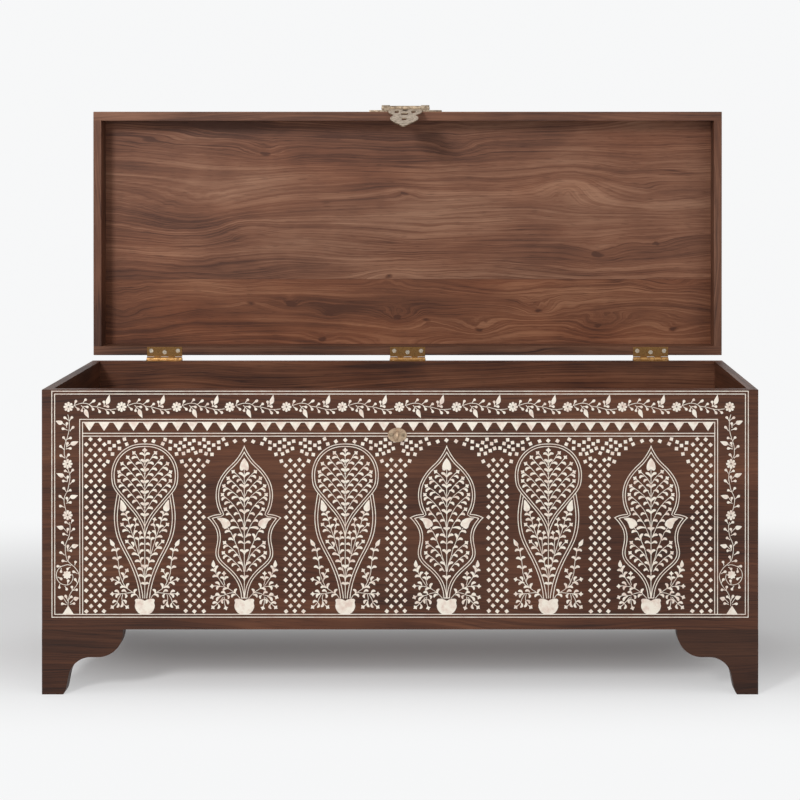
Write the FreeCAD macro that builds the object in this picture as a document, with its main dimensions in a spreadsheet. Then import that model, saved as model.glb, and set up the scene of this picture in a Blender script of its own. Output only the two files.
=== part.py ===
import FreeCAD, Part
import math
import os
import re
from types import SimpleNamespace

from FreeCAD import Placement, Rotation, Vector

# Driving dimensions in millimetres, angles in degrees
SIZES = {
    # Carcass boards
    "trunk_width": 1200,
    "trunk_depth": 465,
    "carcass_height": 402,
    "board_thickness": 17,
    "edge_ease": 0.8,
    "floor_thickness": 12,
    "floor_rise": 12,
    "groove_depth": 6,
    # Bracket feet
    "foot_height": 109,
    "foot_length": 136,
    "foot_stock": 28,
    "foot_drop": 4.5,
    "foot_bulge_radius": 42,
    "foot_flat": 12,
    "foot_hollow_radius": 38,
    "foot_hollow_angle": 79,
    "foot_shin": 22,
    "foot_toe_radius": 5,
    "foot_toe_angle": 50,
    "foot_block_side": 38,
    "foot_block_height": 55,
    # Lid tray
    "lid_height": 64,
    "lid_panel_thickness": 14,
    "rail_thickness": 17,
    "end_rail_thickness": 15,
    "lid_gap": 2,
    # Butt hinges
    "hinge_spacing": 464,
    "hinge_length": 67,
    "leaf_thickness": 2.2,
    "leaf_reach": 16,
    "leaf_face_gap": 0.2,
    "pin_offset": 8,
    "barrel_radius": 5,
    "barrel_clearance": 0.4,
    "knuckle_gap": 0.4,
    "hinge_pin_radius": 2,
    "hinge_pin_proud": 0.8,
    "running_clearance": 0.05,
    # Countersunk slotted screws
    "screw_head_radius": 4,
    "screw_shank_radius": 1.6,
    "screw_length": 14,
    "screw_clearance": 0.1,
    "screw_slot_width": 0.9,
    "screw_slot_depth": 0.8,
    "screw_turn": 35,
    "screw_turn_step": 50,
    "screw_turn_drift": 20,
    "hinge_screw_spacing": 25.5,
    "hinge_screw_edge": 7.5,
    "hinge_screw_stagger": 2.7,
    # Hasp base plate on the lid
    "hasp_offset": -4.5,
    "hasp_setback": 23,
    "hasp_pin_height": 6.8,
    "hasp_base_width": 139,
    "hasp_base_depth": 36,
    "hasp_base_lap": 9,
    "hasp_base_thickness": 3.4,
    "hasp_notch_lap": 6.5,
    "hasp_ear_radius": 6.3,
    "hasp_ear_width": 16,
    "hasp_ear_gap": 59.4,
    "hasp_base_screw_side": 57,
    "hasp_base_screw_middle": 20,
    "hasp_base_screw_row": 21,
    "hasp_base_screw_wing": 14,
    # Hasp flap
    "hasp_pin_radius": 2,
    "hasp_pin_proud": 0.6,
    "hasp_side_gap": 0.35,
    "hasp_knuckle_radius": 5,
    "flap_length": 160,
    "flap_half_width": 32,
    "flap_thickness": 2,
    "flap_droop": 13,
    "flap_slot_width": 9,
    "flap_slot_length": 20,
    # Catch on the front board
    "catch_drop": 76,
    "catch_width": 32,
    "catch_height": 24,
    "catch_thickness": 1.8,
    "catch_screw_spacing": 19.7,
    "staple_thickness": 3.6,
    "staple_radius": 7.5,
    "staple_eye_radius": 3,
    "staple_eye_reach": 11,
    "catch_clearance": 0.3,
    # Bone inlay on the front board
    "inlay_thickness": 0.4,
    "line_width": 1.3,
    "outer_line_side": 17,
    "outer_line_top": 2.7,
    "outer_line_bottom": 20.6,
    "double_line_pitch": 4.75,
    "inner_line_side": 66,
    "inner_frame_shift": -2.3,
    "inner_line_top": 49.9,
    "triangle_base": 18.4,
    "triangle_height": 14,
    "triangle_pitch": 24.66,
    "band_line_drop": 73.2,
    "medallion_pitch": 169,
    "medallion_line_pitch": 4.1,
    "round_half_width": 56,
    "round_top": 90.5,
    "round_point_drop": 247.5,
    "round_body_half_width": 50.8,
    "round_body_top": 170,
    "pointed_half_width": 62,
    "pointed_top": 93,
    "pot_width": 33.4,
    "pot_height": 25.5,
    "slip_gap": 0.6,
    "diamond_side": 5.6,
    "diamond_column": 7.45,
    "diamond_row": 8.72,
    "diamond_bottom": 371.2,
    "diamond_column_top": 118,
    "diamond_shift": 0.5,
    "diamond_tilt": 7,
    "halo_half_width": 68.5,
    "halo_height": 62,
    "halo_centre_drop": 147,
    "halo_margin": 1.5,
    "halo_ring_pitch": 9.2,
    "halo_step": 13.7,
    "fill_step": 9.6,
    "diamond_least_gap": 9,
    "rosette_petal_length": 7,
    "rosette_petal_width": 5,
    "rosette_hub": 1.3,
    "rosette_drop": 29,
    "rosette_side_inset": 44,
    # Construction allowances
    "overrun": 5,
    "place_tolerance": 0.000001,
}

# Outline of the hasp flap: distance from the pin as a share of its length, and half width as a share
# of its widest half width, for the ends of each arc and a point on the arc between them
FLAP_ARC_SHARES = (
    ((0.055, 0.900), (0.185, 1.000), (0.320, 0.890)),
    ((0.320, 0.890), (0.368, 0.745), (0.430, 0.650)),
    ((0.430, 0.650), (0.520, 0.795), (0.620, 0.825)),
    ((0.620, 0.825), (0.705, 0.730), (0.785, 0.570)),
    ((0.785, 0.570), (0.850, 0.430), (0.905, 0.240)),
    ((0.905, 0.240), (0.965, 0.170), (1.000, 0.000)),
)
# Centre (along, across) and size (along, across) of the pierced holes, as shares of length and half width
FLAP_HOLE_SHARES = (
    ((0.225, 0.500), (0.135, 0.250)),
    ((0.225, -0.500), (0.135, 0.250)),
    ((0.125, 0.000), (0.095, 0.320)),
    ((0.345, 0.000), (0.125, 0.420)),
)
# Base plate outline: place across as a share of the half width and place up as a share of the depth
BASE_OUTLINE_SHARES = (
    (1.00, 0.10), (0.90, 0.34), (0.90, 0.46), (1.00, 0.62), (0.80, 0.78), (0.66, 0.70),
    (0.56, 0.84), (0.30, 0.86), (0.18, 1.00),
)
# Middles of the medallions, as shares of half the trunk's width
MEDALLION_SHARES = (-0.7125, -0.4347, -0.1530, 0.1302, 0.4140, 0.7005)
# Middles of the rosettes along the top, as shares of half the trunk's width
ROSETTE_SHARES = (
    -0.925, -0.777, -0.623, -0.475, -0.317, -0.161, -0.002, 0.158, 0.315, 0.468, 0.620, 0.772, 0.920,
)
# Half width of the round medallion's teardrop at shares of the way from its top to its point
DROP_SHARES = (
    (0.000, 0.000), (0.003, 0.179), (0.016, 0.357), (0.044, 0.536), (0.080, 0.679), (0.124, 0.795),
    (0.169, 0.879), (0.220, 0.943), (0.277, 0.986), (0.334, 1.000), (0.385, 0.993), (0.444, 0.963),
    (0.508, 0.868), (0.573, 0.720), (0.637, 0.568), (0.701, 0.420), (0.764, 0.279), (0.827, 0.170),
    (0.890, 0.088), (0.952, 0.036), (1.000, 0.016),
)
# Half width of the round medallion's body at shares of the way from its top to its bottom
ROUND_BODY_SHARES = (
    (0.000, 0.886), (0.056, 0.925), (0.112, 0.958), (0.168, 0.985), (0.224, 1.000), (0.280, 0.998),
    (0.336, 0.978), (0.392, 0.940), (0.448, 0.878), (0.504, 0.790), (0.561, 0.688), (0.617, 0.582),
    (0.673, 0.485), (0.729, 0.398), (0.785, 0.323), (0.841, 0.260), (0.897, 0.211), (0.953, 0.175),
    (1.000, 0.156),
)
# Half width of the pointed medallion at shares of the way from its tip to its foot, one list for
# each stretch between two points
POINTED_SHARES = (
    ((0.000, 0.000), (0.027, 0.046), (0.067, 0.140), (0.106, 0.262), (0.145, 0.426), (0.184, 0.565),
     (0.223, 0.667), (0.262, 0.733), (0.301, 0.765), (0.341, 0.770), (0.380, 0.748), (0.419, 0.700),
     (0.450, 0.634)),
    ((0.450, 0.634), (0.453, 0.772), (0.460, 0.880), (0.474, 1.000)),
    ((0.474, 1.000), (0.488, 0.935), (0.509, 0.865), (0.540, 0.784), (0.576, 0.735), (0.615, 0.726),
     (0.654, 0.750), (0.693, 0.777), (0.732, 0.760), (0.771, 0.662), (0.810, 0.490), (0.850, 0.322),
     (0.889, 0.206), (0.928, 0.136), (0.967, 0.098), (1.000, 0.085)),
)
# Pot outline: half width as a share of the pot's half width, height as a share of the pot's height
POT_SHARES = (
    (0.03, 0.87), (0.20, 0.94), (0.50, 1.00), (0.84, 1.00), (0.97, 0.95), (0.99, 0.87), (0.93, 0.77),
    (0.96, 0.66), (1.00, 0.54), (0.97, 0.40), (0.84, 0.22), (0.64, 0.07), (0.45, 0.00),
)
# Least distance of a parallel line from its outline, as a share of their spacing
CLEAR_SHARE = 0.999
# Half width of a rosette petal at shares of its length
PETAL_SHARES = ((0.00, 0.09), (0.45, 0.33), (0.72, 0.43), (0.90, 0.34), (1.00, 0.12))
HINGE_NAMES = ("left", "middle", "right")
KNUCKLES = 5
TRIANGLES = 43
PETALS = 8
CURVE_STEPS = 8
WANDER_STEP = 2.4

doc = FreeCAD.newDocument("bone_inlay_trunk")
sheet = doc.addObject("Spreadsheet::Sheet", "sizes")
for row, (alias, number) in enumerate(SIZES.items(), start=1):
    sheet.set(f"A{row}", alias)
    sheet.set(f"B{row}", str(number))
    sheet.setAlias(f"B{row}", alias)
doc.recompute()
s = SimpleNamespace(**{alias: float(sheet.get(alias)) for alias in SIZES})

# Main places worked out from the sizes. The origin is on the floor, under the middle of the box that
# holds the open trunk.
STAPLE_REACH = s.staple_eye_reach + s.staple_radius
CARCASS_Y = (STAPLE_REACH - s.pin_offset - s.lid_gap / 2 - s.lid_height) / 2
LEFT_X = -s.trunk_width / 2
FRONT_Y = CARCASS_Y - s.trunk_depth / 2
BACK_Y = CARCASS_Y + s.trunk_depth / 2
RIM_Z = s.foot_height + s.carcass_height
PIN_Y = BACK_Y + s.pin_offset
PIN_Z = RIM_Z + s.lid_gap / 2
LID_FACE_Y = PIN_Y + s.lid_gap / 2
LID_LOW_Z = PIN_Z + s.pin_offset
LID_HIGH_Z = LID_LOW_Z + s.trunk_depth
HASP_PIN = Vector(s.hasp_offset, LID_FACE_Y + s.hasp_setback, LID_HIGH_Z + s.hasp_pin_height)
CATCH_Z = RIM_Z - s.catch_drop
SLOT_DISTANCE = s.hasp_setback + s.lid_gap + s.catch_drop
LEAF_EDGE = s.barrel_radius + s.barrel_clearance
HINGE_X = {"left": -s.hinge_spacing, "middle": 0.0, "right": s.hinge_spacing}
parts = {}


def bound(text):
    """The expression with each size named by its cell."""
    return re.sub(r"\b[a-z]\w*", lambda word: f"sizes.{word[0]}" if word[0] in SIZES else word[0], text)


def box(name, length, width, height, corner):
    """A box whose three sizes follow the sheet."""
    solid = doc.addObject("Part::Box", name)
    for size_name, text in (("Length", length), ("Width", width), ("Height", height)):
        solid.setExpression(size_name, bound(text))
    solid.Placement = Placement(Vector(*corner), Rotation())
    return solid


def cylinder(name, radius, height, centre, axis=Vector(1, 0, 0)):
    """A cylinder from its end's centre along an axis."""
    solid = doc.addObject("Part::Cylinder", name)
    solid.setExpression("Radius", bound(radius))
    solid.setExpression("Height", bound(height))
    solid.Placement = Placement(Vector(*centre), Rotation(Vector(0, 0, 1), axis))
    return solid


def cone(name, radius_low, radius_high, height, centre, axis):
    """A cone from the centre of its first end along an axis."""
    solid = doc.addObject("Part::Cone", name)
    solid.setExpression("Radius1", bound(radius_low))
    solid.setExpression("Radius2", bound(radius_high))
    solid.setExpression("Height", bound(height))
    solid.Placement = Placement(Vector(*centre), Rotation(Vector(0, 0, 1), axis))
    return solid


def fuse(name, solids):
    joined = doc.addObject("Part::MultiFuse", name)
    joined.Shapes = solids
    return joined


def cut(name, base, tools):
    """The base less the tools."""
    less = doc.addObject("Part::Cut", name)
    less.Base = base
    less.Tool = tools[0] if len(tools) == 1 else fuse(name + "_tools", tools)
    return less


def group(name, solids):
    """Separate solids kept together as one sub-part."""
    together = doc.addObject("Part::Compound", name)
    together.Links = solids
    return together


def shape_feature(name, shape):
    feature = doc.addObject("Part::Feature", name)
    feature.Shape = shape
    return feature


def keep(node, solid):
    """Give a finished sub-part its label."""
    solid.Label = node
    parts[node] = solid


def eased(name, solid, faces):
    """Chamfer the edges that lie on at least two of the given planes, named by axis and place."""
    doc.recompute()
    chosen = []
    for number, edge in enumerate(solid.Shape.Edges, start=1):
        limits = edge.BoundBox
        on = 0
        for axis, place in faces:
            low, high = getattr(limits, axis + "Min"), getattr(limits, axis + "Max")
            on += all(math.isclose(end, place, abs_tol=s.place_tolerance) for end in (low, high))
        if on > 1:
            chosen.append((number, s.edge_ease, s.edge_ease))
    chamfer = doc.addObject("Part::Chamfer", name)
    chamfer.Base = solid
    chamfer.Edges = chosen
    return chamfer


def pilot(name, centre, axis):
    """The hole that a screw's shank sits in."""
    start = Vector(*centre) - Vector(*axis) * s.overrun
    return cylinder(name, "screw_shank_radius + screw_clearance", "screw_length + 2 * overrun",
                    start, Vector(*axis))


def screw(name, centre, axis, turn):
    """A countersunk screw whose head's top lies at the centre given, with its slot turned."""
    into, head = Vector(*axis), Vector(*centre)
    cone_part = cone(name + "_head", "screw_head_radius", "screw_shank_radius", "leaf_thickness", head, into)
    shank = cylinder(name + "_shank", "screw_shank_radius", "screw_length", head, into)
    slot = box(name + "_slot", "2 * (screw_head_radius + overrun)", "screw_slot_width",
               "screw_slot_depth + overrun", (0, 0, 0))
    frame = Placement(head, Rotation(Vector(0, 0, 1), -into).multiply(Rotation(Vector(0, 0, 1), turn)))
    corner = Vector(-s.screw_head_radius - s.overrun, -s.screw_slot_width / 2, -s.screw_slot_depth)
    slot.Placement = frame.multiply(Placement(corner, Rotation()))
    return cut(name, fuse(name + "_body", [cone_part, shank]), [slot])


def countersink(name, centre, axis):
    """The clearance cut that a screw's head and shank pass through."""
    into, head = Vector(*axis), Vector(*centre)
    sink = cone(name + "_sink", "screw_head_radius + screw_clearance",
                "screw_shank_radius + screw_clearance", "leaf_thickness", head, into)
    bore = cylinder(name + "_bore", "screw_shank_radius + screw_clearance", "overrun", head, into)
    return [sink, bore]


# Screw places on a hinge leaf, from the middle of the hinge and from the pin
def leaf_screw_places():
    far = s.pin_offset + s.leaf_reach - s.hinge_screw_edge
    return [(-s.hinge_screw_spacing, far), (0.0, far - s.hinge_screw_stagger), (s.hinge_screw_spacing, far)]


def hinge_leaf(node, x, knuckles, side):
    """One leaf of a butt hinge: side -1 lies on the carcass rim, side 1 stands on the lid's rail."""
    start_x = x - s.hinge_length / 2
    pitch = s.hinge_length / KNUCKLES
    if side < 0:
        plate_corner = (start_x, PIN_Y - s.pin_offset - s.leaf_reach, PIN_Z - s.leaf_face_gap - s.leaf_thickness)
        plate = box(node + "_plate", "hinge_length", "pin_offset + leaf_reach - barrel_radius - barrel_clearance",
                    "leaf_thickness", plate_corner)
    else:
        plate_corner = (start_x, PIN_Y + s.leaf_face_gap, PIN_Z + LEAF_EDGE)
        plate = box(node + "_plate", "hinge_length", "leaf_thickness",
                    "pin_offset + leaf_reach - barrel_radius - barrel_clearance", plate_corner)
    solids = [plate]
    for k in knuckles:
        knuckle_x = start_x + k * pitch + s.knuckle_gap / 2
        if side < 0:
            tab = box(f"{node}_tab_{k}", f"hinge_length / {KNUCKLES} - knuckle_gap",
                      "barrel_radius + barrel_clearance", "leaf_thickness",
                      (knuckle_x, PIN_Y - LEAF_EDGE, PIN_Z - s.leaf_face_gap - s.leaf_thickness))
        else:
            tab = box(f"{node}_tab_{k}", f"hinge_length / {KNUCKLES} - knuckle_gap", "leaf_thickness",
                      "barrel_radius + barrel_clearance", (knuckle_x, PIN_Y + s.leaf_face_gap, PIN_Z))
        barrel = cylinder(f"{node}_knuckle_{k}", "barrel_radius", f"hinge_length / {KNUCKLES} - knuckle_gap",
                          (knuckle_x, PIN_Y, PIN_Z))
        solids += [tab, barrel]
    bore = cylinder(node + "_bore", "hinge_pin_radius + running_clearance", "hinge_length + 2 * overrun",
                    (start_x - s.overrun, PIN_Y, PIN_Z))
    tools = [bore]
    for number, (across, away) in enumerate(leaf_screw_places()):
        centre, axis = leaf_screw(x, across, away, side)
        tools += countersink(f"{node}_hole_{number}", centre, axis)
    keep(node, cut(node, fuse(node + "_body", solids), tools))


def leaf_screw(x, across, away, side):
    """Where a leaf's screw head lies and the direction that it is driven."""
    if side < 0:
        return (x + across, PIN_Y - away, PIN_Z - s.leaf_face_gap), (0, 0, -1)
    return (x + across, PIN_Y + s.leaf_face_gap, PIN_Z + away), (0, 1, 0)


def leaf_mortise(name, x, side):
    """The shallow recess that lets a leaf into the wood."""
    if side < 0:
        corner = (x - s.hinge_length / 2, BACK_Y - s.leaf_reach, PIN_Z - s.leaf_face_gap - s.leaf_thickness)
        return box(name, "hinge_length", "leaf_reach + overrun", "leaf_thickness + overrun", corner)
    corner = (x - s.hinge_length / 2, LID_FACE_Y - s.overrun, LID_LOW_Z - s.overrun)
    return box(name, "hinge_length", "overrun + leaf_face_gap + leaf_thickness - lid_gap / 2",
               "leaf_reach + overrun", corner)


def hinge_wood_cuts(prefix, side):
    """Mortises and pilot holes for the three hinges on one side."""
    tools = []
    for hinge in HINGE_NAMES:
        tools.append(leaf_mortise(f"{prefix}_{hinge}_mortise", HINGE_X[hinge], side))
        for number, (across, away) in enumerate(leaf_screw_places()):
            centre, axis = leaf_screw(HINGE_X[hinge], across, away, side)
            tools.append(pilot(f"{prefix}_{hinge}_pilot_{number}", centre, axis))
    return tools


# Carcass boards
def carcass():
    floor_z = s.foot_height + s.floor_rise
    groove_corner = (LEFT_X + s.board_thickness - s.groove_depth, FRONT_Y + s.board_thickness - s.groove_depth,
                     floor_z)
    panel_sizes = ("trunk_width - 2 * (board_thickness - groove_depth)",
                   "trunk_depth - 2 * (board_thickness - groove_depth)", "floor_thickness")
    keep("bottom_panel", box("bottom_panel", *panel_sizes, groove_corner))

    long_board = ("trunk_width", "board_thickness", "carcass_height")
    front = box("front_blank", *long_board, (LEFT_X, FRONT_Y, s.foot_height))
    front = eased("front_eased", front, [("X", LEFT_X), ("X", -LEFT_X), ("Y", FRONT_Y), ("Z", RIM_Z)])
    holes = [pilot(f"catch_pilot_{number}", centre, axis) for number, (centre, axis) in enumerate(catch_screws())]
    groove = box("front_groove", *panel_sizes, groove_corner)
    keep("front_board", cut("front_board", front, [groove] + holes))

    back = box("back_blank", *long_board, (LEFT_X, BACK_Y - s.board_thickness, s.foot_height))
    back = eased("back_eased", back, [("X", LEFT_X), ("X", -LEFT_X), ("Y", BACK_Y), ("Z", RIM_Z)])
    groove = box("back_groove", *panel_sizes, groove_corner)
    keep("back_board", cut("back_board", back, [groove] + hinge_wood_cuts("carcass", -1)))

    for side, x, outer in (("left", LEFT_X, LEFT_X), ("right", -LEFT_X - s.board_thickness, -LEFT_X)):
        end = box(side + "_end_blank", "board_thickness", "trunk_depth - 2 * board_thickness", "carcass_height",
                  (x, FRONT_Y + s.board_thickness, s.foot_height))
        end = eased(side + "_end_eased", end, [("X", outer), ("Z", RIM_Z)])
        groove = box(side + "_end_groove", *panel_sizes, groove_corner)
        keep(side + "_end_board", cut(side + "_end_board", end, [groove]))


def foot_profile():
    """Ogee outline of a bracket board as seen from the front, from its outer top corner."""
    top, outer = s.foot_height, 0.0
    bulge_x = s.foot_length - s.foot_bulge_radius
    flat_z = top - s.foot_drop - s.foot_bulge_radius
    hollow_x, hollow_z = bulge_x - s.foot_flat, flat_z - s.foot_hollow_radius

    def on_arc(x, z, radius, angle):
        turn = math.radians(angle)
        return Vector(x + radius * math.cos(turn), z + radius * math.sin(turn), 0)

    bulge = [on_arc(bulge_x, top - s.foot_drop, s.foot_bulge_radius, angle) for angle in (0, -45, -90)]
    sweep = s.foot_hollow_angle
    hollow = [on_arc(hollow_x, hollow_z, s.foot_hollow_radius, 90 + share * sweep) for share in (0, 0.5, 1)]
    lean = math.radians(90 - sweep)
    shin = hollow[2] + Vector(-math.sin(lean), -math.cos(lean), 0) * s.foot_shin
    toe_x = shin.x - s.foot_toe_radius
    toe = Vector(toe_x + s.foot_toe_radius * math.cos(math.radians(s.foot_toe_angle)), shin.y / 2, 0)
    corners = [Vector(outer, 0, 0), Vector(outer, top, 0), Vector(s.foot_length, top, 0), bulge[0]]
    edges = [Part.LineSegment(a, b) for a, b in zip(corners, corners[1:])]
    edges += [Part.Arc(*bulge), Part.LineSegment(bulge[2], hollow[0]), Part.Arc(*hollow),
              Part.LineSegment(hollow[2], shin), Part.Arc(shin, toe, Vector(toe_x, 0, 0)),
              Part.LineSegment(Vector(toe_x, 0, 0), corners[0])]
    return edges


def plane_of(body, role):
    """One of a body's own origin planes."""
    return next(plane for plane in body.Origin.OriginFeatures if plane.Role == role)


def padded_body(name, outlines, length):
    """A body padded up from closed outlines drawn on its XY plane."""
    body = doc.addObject("PartDesign::Body", name)
    sketch = body.newObject("Sketcher::SketchObject", name + "_sketch")
    sketch.AttachmentSupport = (plane_of(body, "XY_Plane"), [""])
    sketch.MapMode = "FlatFace"
    for outline in outlines:
        sketch.addGeometry(outline, False)
    pad = body.newObject("PartDesign::Pad", name + "_pad")
    pad.Profile = sketch
    pad.setExpression("Length", bound(length))
    return body


def feet():
    """Four mitred bracket feet, each a face board and a return board with a glue block behind."""
    board = padded_body("foot_board", [foot_profile()], "foot_stock")
    upright = Rotation(Vector(1, 0, 0), 90)
    board.Placement = Placement(Vector(LEFT_X, FRONT_Y + s.foot_stock, 0), upright)
    corner = Vector(LEFT_X, FRONT_Y, 0)
    waste = Part.Face(Part.makePolygon([
        corner, corner + Vector(s.foot_stock, s.foot_stock, 0), corner + Vector(0, s.foot_stock, 0), corner]))
    wedge = shape_feature("mitre_waste", waste.extrude(Vector(0, 0, s.foot_height)))
    face = cut("foot_face", board, [wedge])
    across = mirrored("foot_return", face, corner, Vector(1, -1, 0))
    middle = Vector(0, CARCASS_Y, 0)
    for board_name, source in (("face", face), ("return", across)):
        right = mirrored(f"foot_right_{board_name}", source, middle, Vector(1, 0, 0))
        keep(f"foot_front_left_{board_name}", source)
        keep(f"foot_front_right_{board_name}", right)
        keep(f"foot_back_left_{board_name}",
             mirrored(f"foot_back_left_{board_name}", source, middle, Vector(0, 1, 0)))
        keep(f"foot_back_right_{board_name}",
             mirrored(f"foot_back_right_{board_name}", right, middle, Vector(0, 1, 0)))
    blocks = []
    for name, x in (("left", LEFT_X + s.foot_stock), ("right", -LEFT_X - s.foot_stock - s.foot_block_side)):
        for end, y in (("front", FRONT_Y + s.foot_stock), ("back", BACK_Y - s.foot_stock - s.foot_block_side)):
            blocks.append(box(f"foot_block_{end}_{name}", "foot_block_side", "foot_block_side",
                              "foot_block_height",
                              (x, y, s.foot_height + s.floor_rise - s.foot_block_height)))
    keep("foot_glue_blocks", group("foot_glue_blocks", blocks))


def mirrored(name, source, base, normal):
    mirror = doc.addObject("Part::Mirroring", name)
    mirror.Source = source
    mirror.Base = base
    mirror.Normal = normal
    return mirror


# Lid tray, standing open behind the carcass
def lid():
    inner_depth = "lid_height - lid_panel_thickness"
    panel = box("lid_panel_blank", "trunk_width", "lid_panel_thickness", "trunk_depth",
                (LEFT_X, LID_FACE_Y + s.lid_height - s.lid_panel_thickness, LID_LOW_Z))
    top_y = LID_FACE_Y + s.lid_height
    faces = [("X", LEFT_X), ("X", -LEFT_X), ("Y", top_y), ("Z", LID_LOW_Z), ("Z", LID_HIGH_Z)]
    keep("lid_top_panel", eased("lid_top_panel", panel, faces))

    rail = ("trunk_width", inner_depth, "rail_thickness")
    front = box("lid_front_blank", *rail, (LEFT_X, LID_FACE_Y, LID_HIGH_Z - s.rail_thickness))
    front = eased("lid_front_eased", front,
                  [("X", LEFT_X), ("X", -LEFT_X), ("Y", LID_FACE_Y), ("Z", LID_HIGH_Z)])
    holes = [pilot(f"hasp_pilot_{number}", centre, axis) for number, (centre, axis) in enumerate(base_screws())]
    keep("lid_front_rail", cut("lid_front_rail", front, holes))

    back = box("lid_back_blank", *rail, (LEFT_X, LID_FACE_Y, LID_LOW_Z))
    back = eased("lid_back_eased", back, [("X", LEFT_X), ("X", -LEFT_X), ("Y", LID_FACE_Y), ("Z", LID_LOW_Z)])
    keep("lid_back_rail", cut("lid_back_rail", back, hinge_wood_cuts("lid", 1)))

    for side, x, outer in (("left", LEFT_X, LEFT_X), ("right", -LEFT_X - s.end_rail_thickness, -LEFT_X)):
        end = box(f"lid_{side}_blank", "end_rail_thickness", inner_depth, "trunk_depth - 2 * rail_thickness",
                  (x, LID_FACE_Y, LID_LOW_Z + s.rail_thickness))
        keep(f"lid_{side}_rail", eased(f"lid_{side}_rail", end, [("X", outer), ("Y", LID_FACE_Y)]))


# Butt hinges, their pins and screws
def hinges():
    screws = {-1: [], 1: []}
    for hinge in HINGE_NAMES:
        x = HINGE_X[hinge]
        hinge_leaf(f"hinge_{hinge}_carcass_leaf", x, range(0, KNUCKLES, 2), -1)
        hinge_leaf(f"hinge_{hinge}_lid_leaf", x, range(1, KNUCKLES, 2), 1)
        keep(f"hinge_{hinge}_pin", cylinder(
            f"hinge_{hinge}_pin", "hinge_pin_radius", "hinge_length + 2 * hinge_pin_proud",
            (x - s.hinge_length / 2 - s.hinge_pin_proud, PIN_Y, PIN_Z)))
        for side in screws:
            for number, (across, away) in enumerate(leaf_screw_places()):
                centre, axis = leaf_screw(x, across, away, side)
                turn = s.screw_turn + s.screw_turn_step * number + x / s.hinge_spacing * s.screw_turn_drift
                screws[side].append(screw(f"hinge_screw_{hinge}_{number}_{'carcass' if side < 0 else 'lid'}",
                                          centre, axis, turn))
    keep("carcass_hinge_screws", group("carcass_hinge_screws", screws[-1]))
    keep("lid_hinge_screws", group("lid_hinge_screws", screws[1]))


# Hasp on the lid's front rail
def base_screws():
    """Places and directions of the four screws that hold the hasp's base plate."""
    top = HASP_PIN.z - s.hasp_pin_height + s.hasp_base_thickness
    low_y = HASP_PIN.y - s.hasp_base_lap
    places = []
    for across, up in ((s.hasp_base_screw_side, s.hasp_base_screw_wing),
                       (s.hasp_base_screw_middle, s.hasp_base_lap + s.hasp_base_screw_row)):
        for sign in (-1, 1):
            places.append(((HASP_PIN.x + sign * across, low_y + up, top), (0, 0, -1)))
    return places


def hasp_base():
    """Cast base plate with a notch between the two ears that carry the pin."""
    half, depth = s.hasp_base_width / 2, s.hasp_base_depth
    notch, notch_top = s.hasp_ear_gap / 2, s.hasp_base_lap + s.hasp_notch_lap
    right = [Vector(notch, notch_top, 0), Vector(notch, 0, 0), Vector(notch + s.hasp_ear_width, 0, 0)]
    right += [Vector(x * half, y * depth, 0) for x, y in BASE_OUTLINE_SHARES]
    left = [Vector(-point.x, point.y, 0) for point in reversed(right)]
    points = right + left
    outline = [Part.LineSegment(a, b) for a, b in zip(points, points[1:] + points[:1])]
    plate = padded_body("hasp_plate", [outline], "hasp_base_thickness")
    face_z = HASP_PIN.z - s.hasp_pin_height
    plate.Placement = Placement(Vector(HASP_PIN.x, HASP_PIN.y - s.hasp_base_lap, face_z), Rotation())
    solids = [plate]
    for name, x in (("left", -notch - s.hasp_ear_width), ("right", notch)):
        ear_x = HASP_PIN.x + x
        solids.append(cylinder(f"hasp_{name}_ear", "hasp_ear_radius", "hasp_ear_width",
                               (ear_x, HASP_PIN.y, HASP_PIN.z)))
        solids.append(box(f"hasp_{name}_ear_foot", "hasp_ear_width", "2 * hasp_ear_radius",
                          "hasp_pin_height", (ear_x, HASP_PIN.y - s.hasp_ear_radius, face_z)))
    bore = cylinder("hasp_ear_bore", "hasp_pin_radius + running_clearance", "hasp_base_width",
                    (HASP_PIN.x - half, HASP_PIN.y, HASP_PIN.z))
    tools, screws = [bore], []
    for number, (centre, axis) in enumerate(base_screws()):
        tools += countersink(f"hasp_base_hole_{number}", centre, axis)
        screws.append(screw(f"hasp_base_screw_{number}", centre, axis, 25 + 40 * number))
    keep("hasp_base_plate", cut("hasp_base_plate", fuse("hasp_base_body", solids), tools))
    keep("hasp_base_screws", group("hasp_base_screws", screws))


def hasp_pin():
    reach = s.hasp_ear_gap / 2 + s.hasp_ear_width + s.hasp_pin_proud
    keep("hasp_pin", cylinder("hasp_pin", "hasp_pin_radius",
                              "hasp_ear_gap + 2 * (hasp_ear_width + hasp_pin_proud)",
                              (HASP_PIN.x - reach, HASP_PIN.y, HASP_PIN.z)))


def flap_point(along, across, sign=1):
    return Vector(sign * across * s.flap_half_width, -along * s.flap_length, 0)


def rounded_slot(centre, along, across):
    """Closed outline of a slot with round ends, longer along than across or the other way."""
    radius = min(along, across) / 2
    run = max(along, across) / 2 - radius
    way = Vector(0, 1, 0) if along > across else Vector(1, 0, 0)
    side = Vector(-way.y, way.x, 0)
    a, b = centre - way * run, centre + way * run
    arc_b = Part.Arc(b - side * radius, b + way * radius, b + side * radius)
    arc_a = Part.Arc(a + side * radius, a - way * radius, a - side * radius)
    if run < s.place_tolerance:
        return [Part.Circle(centre, Vector(0, 0, 1), radius)]
    return [arc_b, Part.LineSegment(b + side * radius, a + side * radius), arc_a,
            Part.LineSegment(a - side * radius, b - side * radius)]


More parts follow.
